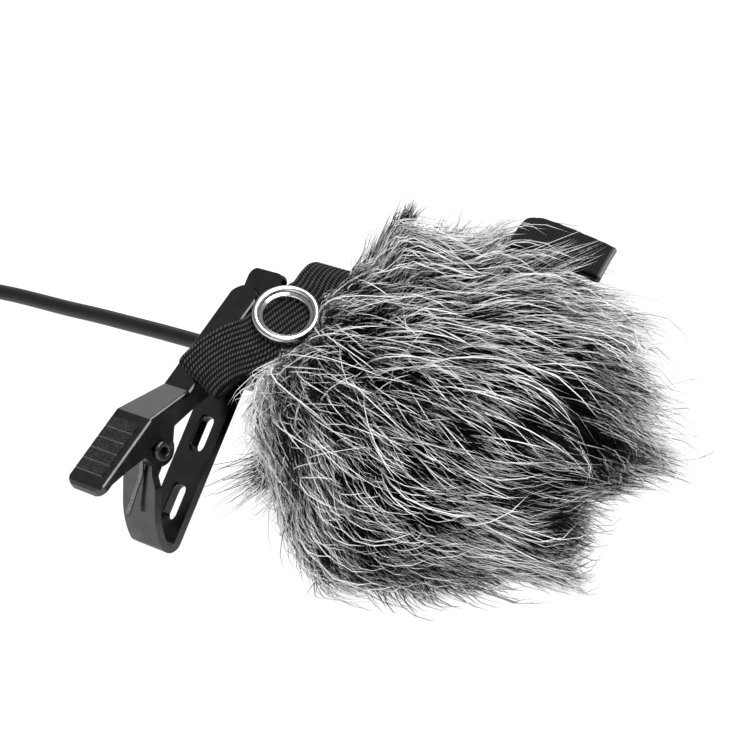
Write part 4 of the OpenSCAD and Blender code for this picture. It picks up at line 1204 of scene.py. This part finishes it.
# Name, hairs, seed, roots along and round the axis, the line of the tips, their
# spread, the bow's push, thickness, tone, finish, points, wave.
LOCKS = [
    ("fur_tuft_1", 260, 51, ((19, 27), (-0.35, 0.15)), ((3.8, 6.7, 55.6), (2.6, 4.6, 53.4)),
     (0.5, 0.5, 0.7), (-1.0, 0, 2.4), 0.09, dark_tone, TOPFUR),
    ("fur_tuft_2", 200, 52, ((17, 24), (-0.3, 0.3)), ((2.9, 5.0, 53.6), (-1.5, 3.0, 47.5)),
     (0.9, 1.2, 1.0), (-0.8, 0, 1.2), 0.07, mixed_tone, TOPFUR),
    ("fur_tuft_3", 560, 53, ((20, 34), (-0.8, 0.0)), ((6.5, 8.4, 52.6), (12.5, 13.5, 49.6)),
     (1.6, 2.2, 1.3), (-0.5, 0, 1.6), 0.07, mixed_tone, TOPFUR),
    ("fur_tuft_4", 260, 54, ((14.6, 18), (-0.5, 0.25)), ((-9.0, 2.5, 45.5), (-3.0, 5.0, 46.5)),
     (1.2, 1.2, 0.8), (-1.0, 0, 1.2), 0.07, pale_tone, GUARD),
    ("fur_fringe", 900, 55, ((14.6, 19), (2.1, 4.0)), ((-34.0, 3.0, 3.0), (-19.0, 8.0, 2.5)),
     (3.0, 4.5, 2.2), (-1.5, 0, -2.5), 0.06, grey_tone, TOPFUR),
    ("fur_point_1", 420, 56, ((36, 47), (-2.2, -1.5)), ((39.0, 27.6, 16.3), (35.5, 26.0, 20.5)),
     (1.2, 1.2, 1.2), (1.5, 1.0, -0.5), 0.08, mixed_tone, TOPFUR),
    ("fur_point_2", 300, 57, ((36, 47), (-2.9, -2.2)), ((32.3, 16.6, 8.0), (30.0, 14.0, 11.0)),
     (1.1, 1.1, 1.2), (1.0, 0.6, -1.5), 0.08, mixed_tone, TOPFUR),
    ("fur_point_3", 260, 58, ((36, 47), (2.6, 3.4)), ((32.2, 13.6, 1.4), (27.0, 9.0, 1.4)),
     (1.4, 1.4, 0.7), (1.0, 0.4, -1.5), 0.08, mixed_tone, TOPFUR),
    ("fur_stray_left", 150, 62, ((14.8, 24), (0.9, 2.6)), ((-21.3, -6.5, 27), (-18.5, -7.0, 7)),
     (1.6, 2.5, 3.5), (0.5, -2.5, 0), 0.085, white_tone, GUARD, 8, 0.25),
    ("fur_over_tab", 480, 59, ((26, 44), (0.1, 0.9)), ((31.9, 15.8, 52.2), (27.5, 10.0, 49.2)),
     (1.3, 0.9, 1.0), (0.4, -1.8, 2.8), 0.08, mixed_tone, TOPFUR),
    ("fur_over_tab_2", 170, 60, ((26, 44), (0.1, 0.8)), ((32.4, 16.2, 52.6), (27.5, 10.0, 49.6)),
     (1.5, 1.0, 1.4), (0.4, -1.8, 2.8), 0.09, white_tone, GUARD),
]


def make_fur():
    make_undercoat()
    pile_batch("fur_under", 6800, 11, 20, (0.80, 0.93), 0.11, dark_tone, UNDERFUR, 6, 420, 0.65)
    for i in range(5):
        pile_batch(f"fur_top_{i + 1}", 4600, 21 + i, 23, (0.88, 1.01), 0.08, mixed_tone, TOPFUR, 7, 420,
                   0.62, 0.4)
    for row in LOOSE:
        loose_batch(*row)
    for row in LOCKS:
        lock(*row)


make_fur()

# ---- stage and light ----

TABLE_GLOW, GLOW_SEEN, GLOW_MIRRORED = 1.12, 0.92, 0.4
ROOM_LIGHT, BACKDROP = 0.26, 1.1
# Place and aim in metres, the side of the square lamp, watts.
LIGHTS = {
    "key": ((0.50, -0.20, 0.60), (0.01, 0, 0.03), 0.7, 6.6),
    "back": ((-0.65, 0.38, 0.49), (0, 0, 0.03), 0.36, 0.40),
    "top": ((-0.05, 0.10, 0.95), (0, 0, 0.03), 0.55, 5.1),
}


def mixed(tree, share, first, second, output):
    """Shows two shaders, the second by its share."""
    both = tree.nodes.new("ShaderNodeMixShader")
    for place, socket in zip(both.inputs, (share, first.outputs[0], second.outputs[0])):
        tree.links.new(socket, place)
    tree.links.new(both.outputs[0], tree.nodes[output].inputs["Surface"])


def make_stage():
    """A white table that glows a little, a white studio and three lamps."""
    bpy.ops.object.select_all(action="DESELECT")
    bpy.ops.mesh.primitive_plane_add(size=6, location=(0, 0, -0.0002))  # metres
    floor = bpy.context.view_layer.objects.active
    floor.name = "floor"
    f = Finish("white_table", (0.93, 0.93, 0.93), 0.9, Specular_IOR_Level=0.1)
    floor.data.materials.append(f.material)
    rays = f.tree.nodes.new("ShaderNodeLightPath").outputs
    glow = f.tree.nodes.new("ShaderNodeEmission")
    glow.inputs["Strength"].default_value = TABLE_GLOW
    camera, glossy, through = [Value(f.tree, rays[f"Is {kind} Ray"])
                               for kind in ("Camera", "Glossy", "Transmission")]
    share = camera * GLOW_SEEN + (glossy + through) * GLOW_MIRRORED
    mixed(f.tree, share.socket, f.shader, glow, "Material Output")
    world = bpy.data.worlds.new("studio")
    scene.world = world
    world.use_nodes = True
    nodes = world.node_tree.nodes
    around, seen = nodes["Background"], nodes.new("ShaderNodeBackground")
    for back, strength in ((around, ROOM_LIGHT), (seen, BACKDROP)):
        back.inputs["Color"].default_value = (1, 1, 1, 1)
        back.inputs["Strength"].default_value = strength
    ray = nodes.new("ShaderNodeLightPath").outputs["Is Camera Ray"]
    mixed(world.node_tree, ray, around, seen, "World Output")
    for name, (place, aim, size, power) in LIGHTS.items():
        lamp = bpy.data.lights.new(name, "AREA")
        lamp.shape = "RECTANGLE"
        lamp.size = lamp.size_y = size
        lamp.energy = power
        ob = bpy.data.objects.new(name, lamp)
        ob.location = place
        ob.rotation_euler = (Vector(aim) - Vector(place)).to_track_quat("-Z", "Y").to_euler()
        scene.collection.objects.link(ob)


make_stage()
